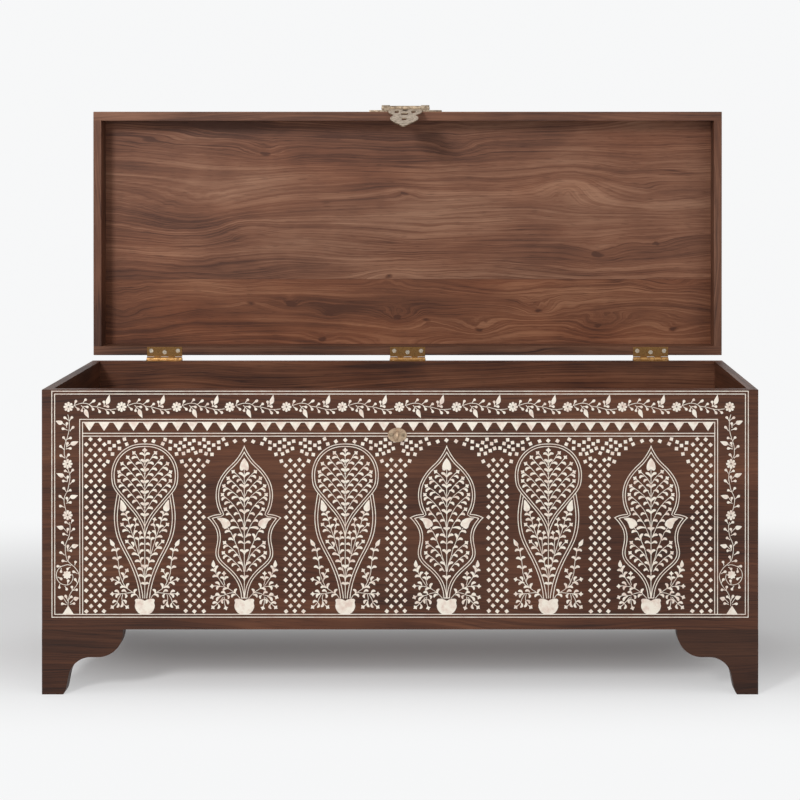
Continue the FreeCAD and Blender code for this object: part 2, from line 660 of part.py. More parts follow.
def hasp_flap():
    """Pierced flap that hangs from the pin and drops over the staple."""
    outline = []
    for sign in (1, -1):
        for arc in FLAP_ARC_SHARES:
            outline.append(Part.Arc(*[flap_point(*point, sign) for point in arc]))
    first = FLAP_ARC_SHARES[0][0]
    right, left = flap_point(*first), flap_point(*first, -1)
    root_right, root_left = Vector(right.x, 0, 0), Vector(left.x, 0, 0)
    outline += [Part.LineSegment(right, root_right), Part.LineSegment(root_right, root_left),
                Part.LineSegment(root_left, left)]
    holes = [rounded_slot(flap_point(*centre), size[0] * s.flap_length, size[1] * s.flap_half_width)
             for centre, size in FLAP_HOLE_SHARES]
    holes.append(rounded_slot(Vector(0, -SLOT_DISTANCE, 0), s.flap_slot_length, s.flap_slot_width))
    plate = padded_body("flap_plate", [outline] + holes, "flap_thickness")
    plate.Placement = Placement(Vector(0, 0, -s.flap_thickness / 2), Rotation())
    reach = s.hasp_ear_gap / 2 - s.hasp_side_gap
    knuckle = cylinder("flap_knuckle", "hasp_knuckle_radius", "hasp_ear_gap - 2 * hasp_side_gap", (-reach, 0, 0))
    bore = cylinder("flap_bore", "hasp_pin_radius + running_clearance", "hasp_ear_gap", (-s.hasp_ear_gap / 2, 0, 0))
    flap = cut("hasp_flap", fuse("flap_body", [plate, knuckle]), [bore])
    flap.Placement = Placement(HASP_PIN, Rotation(Vector(1, 0, 0), s.flap_droop))
    keep("hasp_flap", flap)


# Catch on the front board
def catch_screws():
    """Places and directions of the two screws of the catch plate."""
    places = []
    for sign in (-1, 1):
        x = s.hasp_offset + sign * s.catch_screw_spacing / 2
        places.append(((x, FRONT_Y - s.leaf_thickness, CATCH_Z), (0, 1, 0)))
    return places


def catch():
    """Oval plate with a flat upright staple that has an eye for a padlock."""
    centre = Vector(s.hasp_offset, FRONT_Y, CATCH_Z)
    oval = Part.Ellipse(Vector(0, 0, 0), s.catch_width / 2, s.catch_height / 2)
    plate = padded_body("catch_oval", [[oval]], "catch_thickness")
    plate.Placement = Placement(centre, Rotation(Vector(1, 0, 0), 90))
    half = s.staple_thickness / 2
    neck = box("staple_neck", "staple_thickness", "staple_eye_reach", "2 * staple_radius",
               (centre.x - half, centre.y - s.staple_eye_reach, centre.z - s.staple_radius))
    eye_centre = (centre.x - half, centre.y - s.staple_eye_reach, centre.z)
    nose = cylinder("staple_nose", "staple_radius", "staple_thickness", eye_centre)
    eye = cylinder("staple_eye", "staple_eye_radius", "staple_thickness + 2 * overrun",
                   (centre.x - half - s.overrun, centre.y - s.staple_eye_reach, centre.z))
    tools, screws = [eye], []
    for number, (head, axis) in enumerate(catch_screws()):
        tools += countersink(f"catch_hole_{number}", head, axis)
        screws.append(screw(f"catch_screw_{number}", head, axis, 20 + 70 * number))
    keep("catch_plate", cut("catch_plate", fuse("catch_body", [plate, neck, nose]), tools))
    keep("catch_screws", group("catch_screws", screws))


# Bone inlay: thin slips on the front board's face, placed by distance from its middle and below the rim
def slip(points):
    """One flat bone piece from its outline."""
    place = [Vector(x, FRONT_Y, RIM_Z - drop) for x, drop in points]
    face = Part.Face(Part.makePolygon(place + place[:1]))
    return face.extrude(Vector(0, -s.inlay_thickness, 0))


def strip(left, right, top, bottom):
    return slip([(left, top), (right, top), (right, bottom), (left, bottom)])


def frame_ring(side, top, bottom):
    """A rectangular line all round, as four mitred strips."""
    outer, inner = s.trunk_width / 2 - side + s.line_width / 2, s.trunk_width / 2 - side - s.line_width / 2
    high, low = top - s.line_width / 2, bottom + s.line_width / 2
    a = [(-outer, high), (outer, high), (outer, low), (-outer, low)]
    b = [(-inner, high + s.line_width), (inner, high + s.line_width), (inner, low - s.line_width),
         (-inner, low - s.line_width)]
    return [slip([a[i], a[(i + 1) % 4], b[(i + 1) % 4], b[i]]) for i in range(4)]


def inner_edges():
    """Where the inner frame's faces lie: half width, drop of the top and drop of the bottom."""
    half = s.trunk_width / 2 - s.inner_line_side - s.double_line_pitch - s.line_width / 2
    top = s.inner_line_top + s.double_line_pitch + s.line_width / 2
    bottom = s.carcass_height - s.outer_line_bottom - s.double_line_pitch - s.line_width / 2
    return half, top, bottom


def medallion_foot():
    """Drop of the medallions' lower ends, just above the pots."""
    return inner_edges()[2] - s.pot_height - s.slip_gap


def keep_slips(node, solids):
    """Keep slips as one sub-part, less the oval that the catch plate sits in."""
    oval = Part.Ellipse(Vector(0, 0, 0), s.catch_width / 2 + s.catch_clearance,
                        s.catch_height / 2 + s.catch_clearance)
    seat = Part.Face(Part.Wire(oval.toShape())).extrude(Vector(0, 0, 2 * s.overrun))
    seat.Placement = Placement(Vector(s.hasp_offset, FRONT_Y + s.overrun, CATCH_Z),
                               Rotation(Vector(1, 0, 0), 90))
    fitted = []
    for whole in solids:
        fitted += whole.cut(seat).Solids if whole.distToShape(seat)[0] < s.catch_clearance else [whole]
    keep(node, shape_feature(node, Part.makeCompound(fitted)))


def inlay_lines():
    solids = []
    outer_bottom = s.carcass_height - s.outer_line_bottom
    for step in (0, 1):
        shift = step * s.double_line_pitch
        solids += frame_ring(s.outer_line_side + shift, s.outer_line_top + shift, outer_bottom - shift)
    half, _, bottom = inner_edges()
    for step in (0, 1):
        shift = step * s.double_line_pitch
        outer = s.trunk_width / 2 - s.inner_line_side - shift + s.line_width / 2
        inner, top = outer - s.line_width, s.inner_line_top + shift - s.line_width / 2
        under = top + s.line_width
        for outline in ([(-outer, top), (outer, top), (inner, under), (-inner, under)],
                        [(-outer, top), (-inner, under), (-inner, bottom), (-outer, bottom)],
                        [(outer, top), (outer, bottom), (inner, bottom), (inner, under)]):
            solids.append(slip([(s.inner_frame_shift + x, drop) for x, drop in outline]))
        line_top = s.band_line_drop + shift - s.line_width / 2
        solids.append(strip(s.inner_frame_shift - half, s.inner_frame_shift + half, line_top,
                            line_top + s.line_width))
    keep_slips("inlay_border_lines", solids)


def inlay_triangles():
    _, top, bottom = inner_edges()
    solids = []
    for i in range(TRIANGLES):
        x = s.inner_frame_shift + (i - (TRIANGLES - 1) / 2) * s.triangle_pitch
        solids.append(slip([(x - s.triangle_base / 2, top), (x + s.triangle_base / 2, top),
                            (x, top + s.triangle_height)]))
    for sign in (-1, 1):
        x = sign * (s.trunk_width / 2 - s.rosette_side_inset)
        solids.append(slip([(x - s.triangle_base / 2, bottom), (x, bottom - s.triangle_height),
                            (x + s.triangle_base / 2, bottom)]))
    keep_slips("inlay_triangles", solids)


def medallion_x(number):
    return MEDALLION_SHARES[number] * s.trunk_width / 2


def smooth(points):
    """Points along a smooth curve through the given ones."""
    curve = Part.BSplineCurve()
    curve.interpolate([Vector(x, y, 0) for x, y in points])
    return [(p.x, p.y) for p in curve.toShape().discretize(Number=CURVE_STEPS * (len(points) - 1) + 1)]


def ribbon(path, middle_x):
    """A bone line of even width along an open path, shifted to its medallion."""
    half, left, right = s.line_width / 2, [], []
    for i, (x, y) in enumerate(path):
        before, after = path[max(i - 1, 0)], path[min(i + 1, len(path) - 1)]
        way = Vector(before[1] - after[1], after[0] - before[0], 0).normalize() * half
        left.append((middle_x + x + way.x, y + way.y))
        right.append((middle_x + x - way.x, y - way.y))
    return slip(left + right[::-1])


def drop_outline():
    """Closed teardrop with its point drawn out below."""
    drop = s.round_point_drop - s.round_top
    side = smooth([(s.round_half_width * wide, s.round_top + drop * down) for down, wide in DROP_SHARES])
    return side + [(-u, v) for u, v in reversed(side) if u > s.slip_gap / 2]


def outline_wire(outline, middle_x):
    place = [Vector(middle_x + x, FRONT_Y, RIM_Z - drop) for x, drop in outline]
    return Part.makePolygon(place + place[:1])


def moved_in(outline, depth):
    """Points of a closed outline moved inwards, less those that come too near another stretch of it."""
    moved = []
    for i, (x, y) in enumerate(outline):
        before, after = outline[i - 1], outline[(i + 1) % len(outline)]
        way = Vector(before[1] - after[1], after[0] - before[0], 0).normalize() * depth
        spot = (x + way.x, y + way.y)
        clear = min(math.dist(spot, other) for other in outline) > abs(depth) * CLEAR_SHARE
        if clear and spot[0] * x >= 0:
            moved.append(spot)
    return moved


def loops(outline, middle_x):
    """Two parallel bone lines that follow a closed outline, the outer one along it."""
    solids = []
    for depth in (0, s.medallion_line_pitch):
        outer = moved_in(outline, depth) if depth else outline
        inner = moved_in(outline, depth + s.line_width)
        rims = [Part.Face(outline_wire(points, middle_x)) for points in (outer, inner)]
        solids += rims[0].cut(rims[1]).extrude(Vector(0, -s.inlay_thickness, 0)).Solids
    return solids


def round_medallion(number):
    """Teardrop of two lines with a double-lined body hanging below it."""
    x = medallion_x(number)
    solids = loops(drop_outline(), x)
    drop = medallion_foot() - s.round_body_top
    around = outline_wire(moved_in(drop_outline(), -s.slip_gap / 2), x)
    clear = Part.Face(around).extrude(Vector(0, -s.overrun, 0))
    for inset in (0, s.double_line_pitch):
        side = smooth([(s.round_body_half_width * wide - inset, s.round_body_top + drop * down)
                       for down, wide in ROUND_BODY_SHARES])
        for path in (side, [(-u, v) for u, v in side]):
            solids += ribbon(path, x).cut(clear).Solids
    return solids


def pointed_outline():
    """Closed outline of the pointed medallion."""
    drop = medallion_foot() - s.pointed_top
    side = []
    for stretch in POINTED_SHARES:
        points = [(s.pointed_half_width * wide, s.pointed_top + drop * down) for down, wide in stretch]
        side += smooth(points)[1 if side else 0:]
    return side + [(-u, v) for u, v in reversed(side) if u > s.line_width / 4]


def pots():
    solids = []
    _, _, bottom = inner_edges()
    for number in range(len(MEDALLION_SHARES)):
        x = medallion_x(number)
        right = [(x + share * s.pot_width / 2, bottom - up * s.pot_height) for share, up in POT_SHARES]
        left = [(2 * x - u, v) for u, v in reversed(right)]
        solids.append(slip(right + left))
    keep_slips("inlay_pots", solids)


def medallions():
    rounds, pointed = [], []
    for number in range(len(MEDALLION_SHARES)):
        if number % 2:
            pointed += loops(pointed_outline(), medallion_x(number))
        else:
            rounds += round_medallion(number)
    keep_slips("inlay_round_medallions", rounds)
    keep_slips("inlay_pointed_medallions", pointed)


def diamond(x, drop, turn):
    """A small square of bone turned about its middle."""
    reach = s.diamond_side / math.sqrt(2)
    corners = [math.radians(turn + 90 * quarter) for quarter in range(4)]
    return slip([(x + reach * math.cos(c), drop + reach * math.sin(c)) for c in corners])


def diamond_places():
    """Columns between the medallions, then rings round each halo, each kept clear of those before it."""
    half, _, _ = inner_edges()
    left, right = s.inner_frame_shift - half, s.inner_frame_shift + half
    field_top = s.band_line_drop + s.double_line_pitch + s.line_width / 2
    margin = s.diamond_side
    top_margin = s.diamond_side / math.sqrt(2) + s.diamond_shift
    middles = [medallion_x(number) for number in range(len(MEDALLION_SHARES))]
    columns = [(a + b) / 2 for a, b in zip(middles, middles[1:])]
    columns.insert(0, max(middles[0] - s.medallion_pitch / 2, left + 2 * s.diamond_column + margin))
    columns.append(min(middles[-1] + s.medallion_pitch / 2, right - 2 * s.diamond_column - margin))
    places = []
    for x in columns:
        column_top = field_top + top_margin if x in (columns[0], columns[-1]) else s.diamond_column_top
        for row in range(int((s.diamond_bottom - column_top) / s.diamond_row) + 1):
            drop = s.diamond_bottom - row * s.diamond_row
            steps = (-1, 1) if row % 2 else (-2, 0, 2)
            places += [(x + step * s.diamond_column, drop, 0.0) for step in steps]
    for ring in range(int(s.medallion_pitch / s.halo_ring_pitch)):
        wide = s.halo_half_width + ring * s.halo_ring_pitch
        high = s.halo_height + ring * s.halo_ring_pitch
        count = int(math.pi * (wide + high) / 2 / (s.fill_step if ring else s.halo_step))
        for number, middle in enumerate(middles):
            for i in range(count + 1):
                turn = math.pi * (i + 0.5 * (ring % 2)) / count
                x, drop = middle + wide * math.cos(turn), s.halo_centre_drop - high * math.sin(turn)
                low_enough = field_top + top_margin < drop < s.halo_centre_drop
                inside = low_enough and left + margin < x < right - margin
                own = abs(x - middle) < s.medallion_pitch / 2 or number in (0, len(middles) - 1)
                clear = all(math.hypot(x - px, drop - py) > s.diamond_least_gap for px, py, _ in places)
                if inside and own and clear and far_from_halos(x, drop, number):
                    places.append((x, drop, math.degrees(turn)))
    return places


def far_from_halos(x, drop, number):
    """Whether a place stays outside the neighbouring halos."""
    wide, high = s.halo_half_width - s.halo_margin, s.halo_height - s.halo_margin
    return all(math.hypot((x - medallion_x(other)) / wide, (drop - s.halo_centre_drop) / high) > 1
               for other in range(len(MEDALLION_SHARES)) if other != number)


def inlay_diamonds():
    """Diamonds, each laid a little off its place and turn as by hand."""
    solids = []
    for number, (x, drop, turn) in enumerate(diamond_places()):
        sway = math.sin(number * WANDER_STEP)
        lift = math.cos(number * WANDER_STEP)
        solids.append(diamond(x + sway * s.diamond_shift, drop + lift * s.diamond_shift,
                              turn + sway * s.diamond_tilt))
    keep_slips("inlay_diamonds", solids)


def rosette(x, drop):
    """Eight petals round a small middle."""
    solids = []
    for petal in range(PETALS):
        turn = 2 * math.pi * petal / PETALS
        along, across = Vector(math.cos(turn), math.sin(turn), 0), Vector(-math.sin(turn), math.cos(turn), 0)
        outline = []
        for out, wide in PETAL_SHARES:
            outline.append((s.rosette_hub + out * s.rosette_petal_length, wide * s.rosette_petal_width))
        outline += [(out, -wide) for out, wide in reversed(outline)]
        solids.append(slip([(x + out * along.x + wide * across.x, drop + out * along.y + wide * across.y)
                            for out, wide in outline]))
    return solids


def inlay_rosettes():
    solids = []
    for share in ROSETTE_SHARES:
        solids += rosette(share * s.trunk_width / 2, s.rosette_drop)
    keep_slips("inlay_rosettes", solids)


carcass()
feet()
lid()
hinges()
hasp_base()
hasp_pin()
hasp_flap()
catch()
inlay_lines()
inlay_triangles()
medallions()
pots()
inlay_diamonds()
inlay_rosettes()
doc.recompute()

for item in doc.Objects:
    if "Invalid" in item.State or "Error" in item.State:
        raise RuntimeError(f"{item.Label} did not compute: {item.State}")
os.makedirs("parts", exist_ok=True)
for node, item in parts.items():
    shape = item.Shape
    if shape.isNull() or not shape.isValid() or not shape.Solids:
        raise RuntimeError(f"{node} is not a valid solid")
    shape.exportStep(f"parts/{node}.step")
    print(f"{node}: {len(shape.Solids)} solids, volume {shape.Volume:.0f}")
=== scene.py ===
"""Bone inlay trunk: a dark timber chest with an inlaid front, a hinged tray lid and a brass hasp."""

import math

import bmesh
import bpy
from bpy.props import FloatProperty, FloatVectorProperty, IntProperty, PointerProperty
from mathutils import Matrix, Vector


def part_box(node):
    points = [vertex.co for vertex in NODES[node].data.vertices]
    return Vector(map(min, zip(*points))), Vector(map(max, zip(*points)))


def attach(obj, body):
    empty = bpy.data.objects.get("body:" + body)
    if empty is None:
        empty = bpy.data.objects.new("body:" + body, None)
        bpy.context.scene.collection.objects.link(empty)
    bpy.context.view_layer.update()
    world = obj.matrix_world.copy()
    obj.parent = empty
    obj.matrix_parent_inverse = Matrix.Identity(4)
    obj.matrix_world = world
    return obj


bl_info = {
    "name": "Bone Inlay Trunk",
    "version": (1, 0, 0),
    "blender": (4, 5, 0),
    "location": "View3D > Sidebar > Trunk",
    "description": "Dresses a bone inlaid trunk with timber, bone foliage and brass",
    "category": "Object",
}

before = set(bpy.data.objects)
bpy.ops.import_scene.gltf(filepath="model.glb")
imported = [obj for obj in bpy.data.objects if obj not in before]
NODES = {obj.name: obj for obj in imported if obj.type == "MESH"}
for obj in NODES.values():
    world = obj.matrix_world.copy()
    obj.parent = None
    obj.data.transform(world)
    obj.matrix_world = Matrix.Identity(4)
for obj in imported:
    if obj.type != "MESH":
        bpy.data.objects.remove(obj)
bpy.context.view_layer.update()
BOARD_LOW, BOARD_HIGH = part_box("front_board")
FACE_Y = BOARD_LOW.y
RIM_Z = BOARD_HIGH.z
HALF_WIDTH = BOARD_HIGH.x
MM = 0.001
WHITE = (1, 1, 1, 1)


def colour(name, description, default):
    return FloatVectorProperty(name=name, description=description, default=default, subtype="COLOR", size=3,
                               min=0, max=1)


def number(name, description, default, **limits):
    return FloatProperty(name=name, description=description, default=default, **limits)


def metres(name, description, default):
    return number(name, description, default, min=0, unit="LENGTH", precision=5)


class TrunkTimber(bpy.types.PropertyGroup):
    front_dark: colour("Carcass dark", "Late wood and streaks of the carcass", (0.028, 0.0103, 0.006))
    front_mid: colour("Carcass middle", "Main tone of the carcass", (0.0825, 0.0302, 0.0148))
    front_light: colour("Carcass light", "Pale streaks of the carcass", (0.156, 0.063, 0.032))
    lid_dark: colour("Lid dark", "Late wood and streaks inside the lid", (0.098, 0.040, 0.024))
    lid_mid: colour("Lid middle", "Main tone inside the lid", (0.210, 0.089, 0.050))
    lid_light: colour("Lid light", "Pale streaks inside the lid", (0.365, 0.190, 0.116))
    foot_shade: number("Foot shade", "How much darker the feet are than the carcass", 0.62)
    # Painted sheen: the rail shade makes the lid's rails lighter than the carcass, standing for the shine
    # on their faces
    rail_sheen: number("Rail shade", "How much lighter the lid's rails are than the carcass", 1.72)
    inner_shade: number("Inner shade", "How much lighter the trunk is inside than outside", 1.60)
    gloss: number("Satin", "Roughness of the waxed timber", 0.46, min=0, max=1)
    shine: number("Shine", "Strength of the timber's reflections", 0.25, min=0, max=1)


class TrunkInlay(bpy.types.PropertyGroup):
    bone_light: colour("Bone light", "Palest bone", (0.90, 0.83, 0.72))
    bone_dark: colour("Bone dark", "Darkest bone", (0.74, 0.58, 0.49))
    leaf_width: metres("Leaf width", "Width of a curled leaf's round end", 4.8 * MM)
    club_width: metres("Club width", "Width of a club leaf's round end on the vine", 4.6 * MM)
    spear_width: metres("Spear width", "Width of a pointed leaf on the vine", 7.4 * MM)
    bud_width: metres("Bud width", "Width of the pointed bud of a pot's shoot", 6.5 * MM)
    floret_size: metres("Floret size", "Width of a four-pointed floret", 7.4 * MM)
    rosette_hub: metres("Rosette hub", "Where the petals of a side rosette start", 1.3 * MM)
    petal_length: metres("Petal length", "Length of a petal of a side rosette", 7.0 * MM)
    petal_width: metres("Petal width", "Width scale of a petal of a side rosette", 5.0 * MM)
    eye_size: metres("Eye size", "Width of the flower in the coiled shoot", 15.0 * MM)
    stem_width: metres("Stem width", "Width of a bone stem", 1.2 * MM)
    thickness: metres("Thickness", "How far the bone stands out of the board", 0.42 * MM)
    stem_sides: IntProperty(name="Stem sides", description="Sides of a stem's round section", min=3,
                            default=6)


class TrunkMetal(bpy.types.PropertyGroup):
    hinge: colour("Hinge brass", "Colour of the butt hinges", (0.43, 0.240, 0.088))
    hinge_dark: colour("Hinge tarnish", "Tarnish on the butt hinges", (0.13, 0.062, 0.023))
    screw: colour("Screw brass", "Colour of the hinge screws", (0.97, 0.90, 0.76))
    hasp: colour("Hasp brass", "Colour of the hasp", (0.50, 0.385, 0.265))
    hasp_dark: colour("Hasp tarnish", "Tarnish on the hasp and the catch's screws", (0.105, 0.07, 0.046))
    hasp_base: colour("Base brass", "Colour of the hasp's base plate", (0.40, 0.32, 0.232))
    catch: colour("Catch brass", "Colour of the catch and its staple", (0.59, 0.44, 0.305))
    catch_dark: colour("Catch tarnish", "Tarnish on the catch and its staple", (0.17, 0.10, 0.065))


class TrunkStage(bpy.types.PropertyGroup):
    lens: number("Lens", "Focal length", 90.51, min=10, unit="CAMERA")
    distance: metres("Distance", "Camera distance from the inlaid front", 3.3657)
    height: metres("Height", "Camera height", 0.9134)
    side: metres("Side", "Camera offset to the right", 0.1028)
    pitch: number("Pitch", "Camera tilt below level", math.radians(0.248), subtype="ANGLE")
    floor: colour("Floor", "Pale floor and backdrop", (0.93, 0.935, 0.94))


class TrunkSettings(bpy.types.PropertyGroup):
    timber: PointerProperty(type=TrunkTimber)
    inlay: PointerProperty(type=TrunkInlay)
    metal: PointerProperty(type=TrunkMetal)
    stage: PointerProperty(type=TrunkStage)


def settings():
    return bpy.context.scene.trunk


# Node trees


class Wire:
    """A value in a node tree. A sum with it, or one of its methods, adds the node that works it out."""

    def __init__(self, socket):
        self.socket = socket
        self.tree = socket.id_data

    def maths(self, operation, *others, clamp=False):
        inputs = dict(enumerate((self, *others)))
        return wire(self.tree, "ShaderNodeMath", inputs, operation=operation, use_clamp=clamp)

    def __add__(self, other):
        return self.maths("ADD", other)

    def __sub__(self, other):
        return self.maths("SUBTRACT", other)

    def __mul__(self, other):
        return self.maths("MULTIPLY", other)

    def times_plus(self, factor, more):
        return self.maths("MULTIPLY_ADD", factor, more)

    def remap(self, low, high, new_low=0.0, new_high=1.0, kind="LINEAR"):
        inputs = {0: self, 1: low, 2: high, 3: new_low, 4: new_high}
        return wire(self.tree, "ShaderNodeMapRange", inputs, interpolation_type=kind)

    def vector_maths(self, operation, *others, output=0):
        inputs = dict(enumerate((self, *others)))
        return wire(self.tree, "ShaderNodeVectorMath", inputs, output, operation=operation)

    def stretched(self, scale):
        return self.vector_maths("MULTIPLY", scale)

    def parts(self):
        return [Wire(socket) for socket in node(self.tree, "ShaderNodeSeparateXYZ", {0: self}).outputs]

    def noise(self, scale, detail=2.0, roughness=0.5, distortion=0.0, output="Fac"):
        """Noise at one scale, or at a scale for each axis."""
        place, scale = (self.stretched(scale), 1.0) if isinstance(scale, tuple) else (self, scale)
        inputs = {"Vector": place, "Scale": scale, "Detail": detail, "Roughness": roughness,
                  "Distortion": distortion}
        return wire(self.tree, "ShaderNodeTexNoise", inputs, output)

    def ranged(self, kind, ends):
        """Noise of a kind, spread between its ends."""
        return self.noise(*kind).remap(*ends)


def feed(socket, value):
    """Link a wire to a socket, or set its plain value."""
    if isinstance(value, Wire):
        value.tree.links.new(value.socket, socket)
    else:
        socket.default_value = value


def node(tree, kind, inputs=None, **attributes):
    made = tree.nodes.new(kind)
    for key, value in attributes.items():
        setattr(made, key, value)
    for key, value in (inputs or {}).items():
        feed(made.inputs[key], value)
    return made


def wire(tree, kind, inputs=None, output=0, **attributes):
    """One output of a new node."""
    return Wire(node(tree, kind, inputs, **attributes).outputs[output])


def vector(tree, **parts):
    return wire(tree, "ShaderNodeCombineXYZ", parts)


def mix_colour(tree, share, a, b, kind="MIX"):
    return wire(tree, "ShaderNodeMix", {0: share, 6: a, 7: b}, 2, data_type="RGBA", blend_type=kind)


def new_tree(kind, name, inputs, outputs):
    """A node group with named sockets: the tree, its inputs as wires and the sockets of its outputs."""
    tree = bpy.data.node_groups.new(name, f"{kind}NodeTree")
    for way, sockets in (("INPUT", inputs), ("OUTPUT", outputs)):
        for label, form, *default in sockets:
            socket = tree.interface.new_socket(label, in_out=way, socket_type=f"NodeSocket{form}")
            if default:
                socket.default_value = default[0]
    start, end = tree.nodes.new("NodeGroupInput"), tree.nodes.new("NodeGroupOutput")
    return tree, {label: Wire(start.outputs[label]) for label, *_ in inputs}, end.inputs


# Patterns. A noise is its scale, all round or along each axis, then its detail, roughness and distortion.
# The ends that may follow are the low and high noise, and what these become where that isn't 0 and 1
FINISH_OUTPUTS = (("Colour", "Color"), ("Roughness", "Float"), ("Height", "Float"))
DRIFT, CURL = ((1.5, 2.0, 5.5), 1.5, 0.45), ((6.5, 5.0, 19.0), 1.5, 0.5, 0.6)
LIVELY = ((2.2, 3.0, 6.5), 1.0, 0.4), (0.40, 0.62, 0.15, 1.0)
CLOUD = ((3.4, 4.0, 9.0), 3.0, 0.55, 0.3), (0.28, 0.72)
WARMTH = ((2.4, 6.0, 9.0), 2.0, 0.5, 0.4), (0.36, 0.66)
PORES = ((40.0, 900.0, 900.0), 1.0, 0.5), (0.30, 0.40, 1.0, 0.0)
# Bands of the timber: how often they repeat in a metre along and across the grain, and their weight in
# its tone
BROAD, MEDIUM, FINE, HAIR = (0.9, 26.0, 0.28), (1.3, 95.0, 0.30), (2.6, 330.0, 0.32), (14.0, 900.0, 0.20)
BAND_NOISE, BAND_ENDS, CLOUD_WEIGHT = (1.0, 2.0, 0.55), (0.3, 0.7), 0.60
# How the figure leans with the depth in the board, how wide and dark the veins in its medium bands are, and
# between which ends its tone goes from dark to middle and from middle to light
LEAN_ALONG, LEAN_ACROSS, VEIN_ENDS = 0.35, 0.8, (0.0, 0.024, 0.30, 0.0)
DARK_ENDS, LIGHT_ENDS, TIMBER_ROUGHNESS = (0.08, 0.48), (0.50, 0.98), (0.0, 1.0, 0.06, -0.05)
WARM_AMOUNT, WARM_TINT = 0.55, (1.0, 0.82, 0.70, 1)
PORE_AMOUNT, PORE_TINT = 0.45, (0.35, 0.28, 0.25, 1)
PATCH, PATCH_ENDS, PATCH_HEIGHT = (170.0, 4.0, 0.62, 0.4), (0.38, 0.66), 0.8
RUB, RUB_HEIGHT = ((160.0, 2400.0, 2400.0), 2.0, 0.5), 0.35
# A share or a roughness below is a factor and what is added after it
SPECK, SPECK_SHARE, BRASS_ROUGHNESS = (1300.0, 2.0, 0.6), (0.5, -0.25), (0.26, 0.26)
GROWTH, GROWTH_SHARE, BONE_ROUGHNESS = ((1500.0, 1500.0, 160.0), 2.0, 0.5), (0.36, -0.16), (0.14, 0.34)
SLIP_TONE, SLIP_AMOUNT = ((95.0, 2.0, 0.6), (0.44, 0.68)), 0.85
PITS, PIT_AMOUNT, PIT_TINT = ((2100.0, 1.0), (0.26, 0.36, 1.0, 0.0)), 0.35, (0.5, 0.4, 0.3, 1)


def blend_of(weighted):
    """The sum of values, each less a half and times its weight, about one half."""
    total = 0.5
    for value, weight in weighted:
        total = value.times_plus(weight, -0.5 * weight) + total
    return total


def band_noise(along, across, band):
    """Noise in bands that follow the contours of the figure."""
    return vector(along.tree, X=along * band[0], Y=across * band[1]).noise(*BAND_NOISE)


def timber_group():
    """Flat-sawn timber with its fibres along X, in bands round a figure that wanders and rounds knots."""
    tree, given, put = new_tree("Shader", "Flat sawn timber", (
        ("Vector", "Vector"), ("Dark", "Color"), ("Middle", "Color"), ("Light", "Color"),
        ("Wander", "Float", 0.12), ("Swirl", "Float", 0.01), ("Contrast", "Float", 1.0),
        ("Lift", "Float", 0.0), ("Heart", "Float", 0.0), ("Tint", "Color", WHITE)), FINISH_OUTPUTS)
    place = given["Vector"]
    x, y, z = place.parts()
    along, across = y.times_plus(LEAN_ALONG, x), y.times_plus(LEAN_ACROSS, z)
    lively = place.ranged(*LIVELY)
    curl = place.noise(*CURL) * (lively * given["Swirl"])
    figure = place.noise(*DRIFT).times_plus(given["Wander"], across) + curl + given["Lift"]
    broad, medium, fine = (band_noise(along, figure, band) for band in (BROAD, MEDIUM, FINE))
    hair = band_noise(along, across, HAIR)
    bands = ((broad, BROAD), (medium, MEDIUM), (fine, FINE), (hair, HAIR))
    weighted = [(value.remap(*BAND_ENDS), band[2]) for value, band in bands]
    share = blend_of([*weighted, (place.ranged(*CLOUD), CLOUD_WEIGHT)])
    share = (share - 0.5).times_plus(given["Contrast"], 0.5)
    vein = (medium - 0.5).maths("ABSOLUTE").remap(*VEIN_ENDS) * lively
    share = (share - vein * given["Contrast"]).maths("SUBTRACT", given["Heart"], clamp=True)
    tone = mix_colour(tree, share.remap(*DARK_ENDS), given["Dark"], given["Middle"])
    tone = mix_colour(tree, share.remap(*LIGHT_ENDS), tone, given["Light"])
    warm, pores = place.ranged(*WARMTH), place.ranged(*PORES)
    warm, pores_seen = warm * WARM_AMOUNT, pores * PORE_AMOUNT
    for amount, tint in ((warm, WARM_TINT), (1.0, given["Tint"]), (pores_seen, PORE_TINT)):
        tone = mix_colour(tree, amount, tone, tint, "MULTIPLY")
    feed(put["Colour"], tone)
    feed(put["Roughness"], share.remap(*TIMBER_ROUGHNESS))
    feed(put["Height"], fine * 0.5 - pores)
    return tree


def wear_group():
    """Uneven tarnish and fine rub marks on old brass."""
    tree, given, put = new_tree("Shader", "Old brass", (
        ("Vector", "Vector"), ("Clean", "Color"), ("Tarnish", "Color"), ("Amount", "Float")),
        FINISH_OUTPUTS)
    place = given["Vector"]
    patch, speck, rub = (place.noise(*kind) for kind in (PATCH, SPECK, RUB))
    share = patch.remap(*PATCH_ENDS) * given["Amount"]
    share = share.maths("ADD", speck.times_plus(*SPECK_SHARE), clamp=True)
    feed(put["Colour"], mix_colour(tree, share, given["Clean"], given["Tarnish"]))
    feed(put["Roughness"], share.times_plus(*BRASS_ROUGHNESS))
    feed(put["Height"], rub * RUB_HEIGHT + patch * PATCH_HEIGHT)
    return tree


def bone_group():
    """Polished bone: each slip a little different, with faint growth lines and pits."""
    tree, given, put = new_tree("Shader", "Polished bone", (
        ("Vector", "Vector"), ("Light", "Color"), ("Dark", "Color")), FINISH_OUTPUTS)
    place = given["Vector"]
    slip, line, pit = place.ranged(*SLIP_TONE), place.noise(*GROWTH), place.ranged(*PITS)
    share = (slip * SLIP_AMOUNT).maths("ADD", line.times_plus(*GROWTH_SHARE), clamp=True)
    tone = mix_colour(tree, share, given["Light"], given["Dark"])
    feed(put["Colour"], mix_colour(tree, pit * PIT_AMOUNT, tone, PIT_TINT, "MULTIPLY"))
    feed(put["Roughness"], share.times_plus(*BONE_ROUGHNESS))
    feed(put["Height"], line - pit)
    return tree


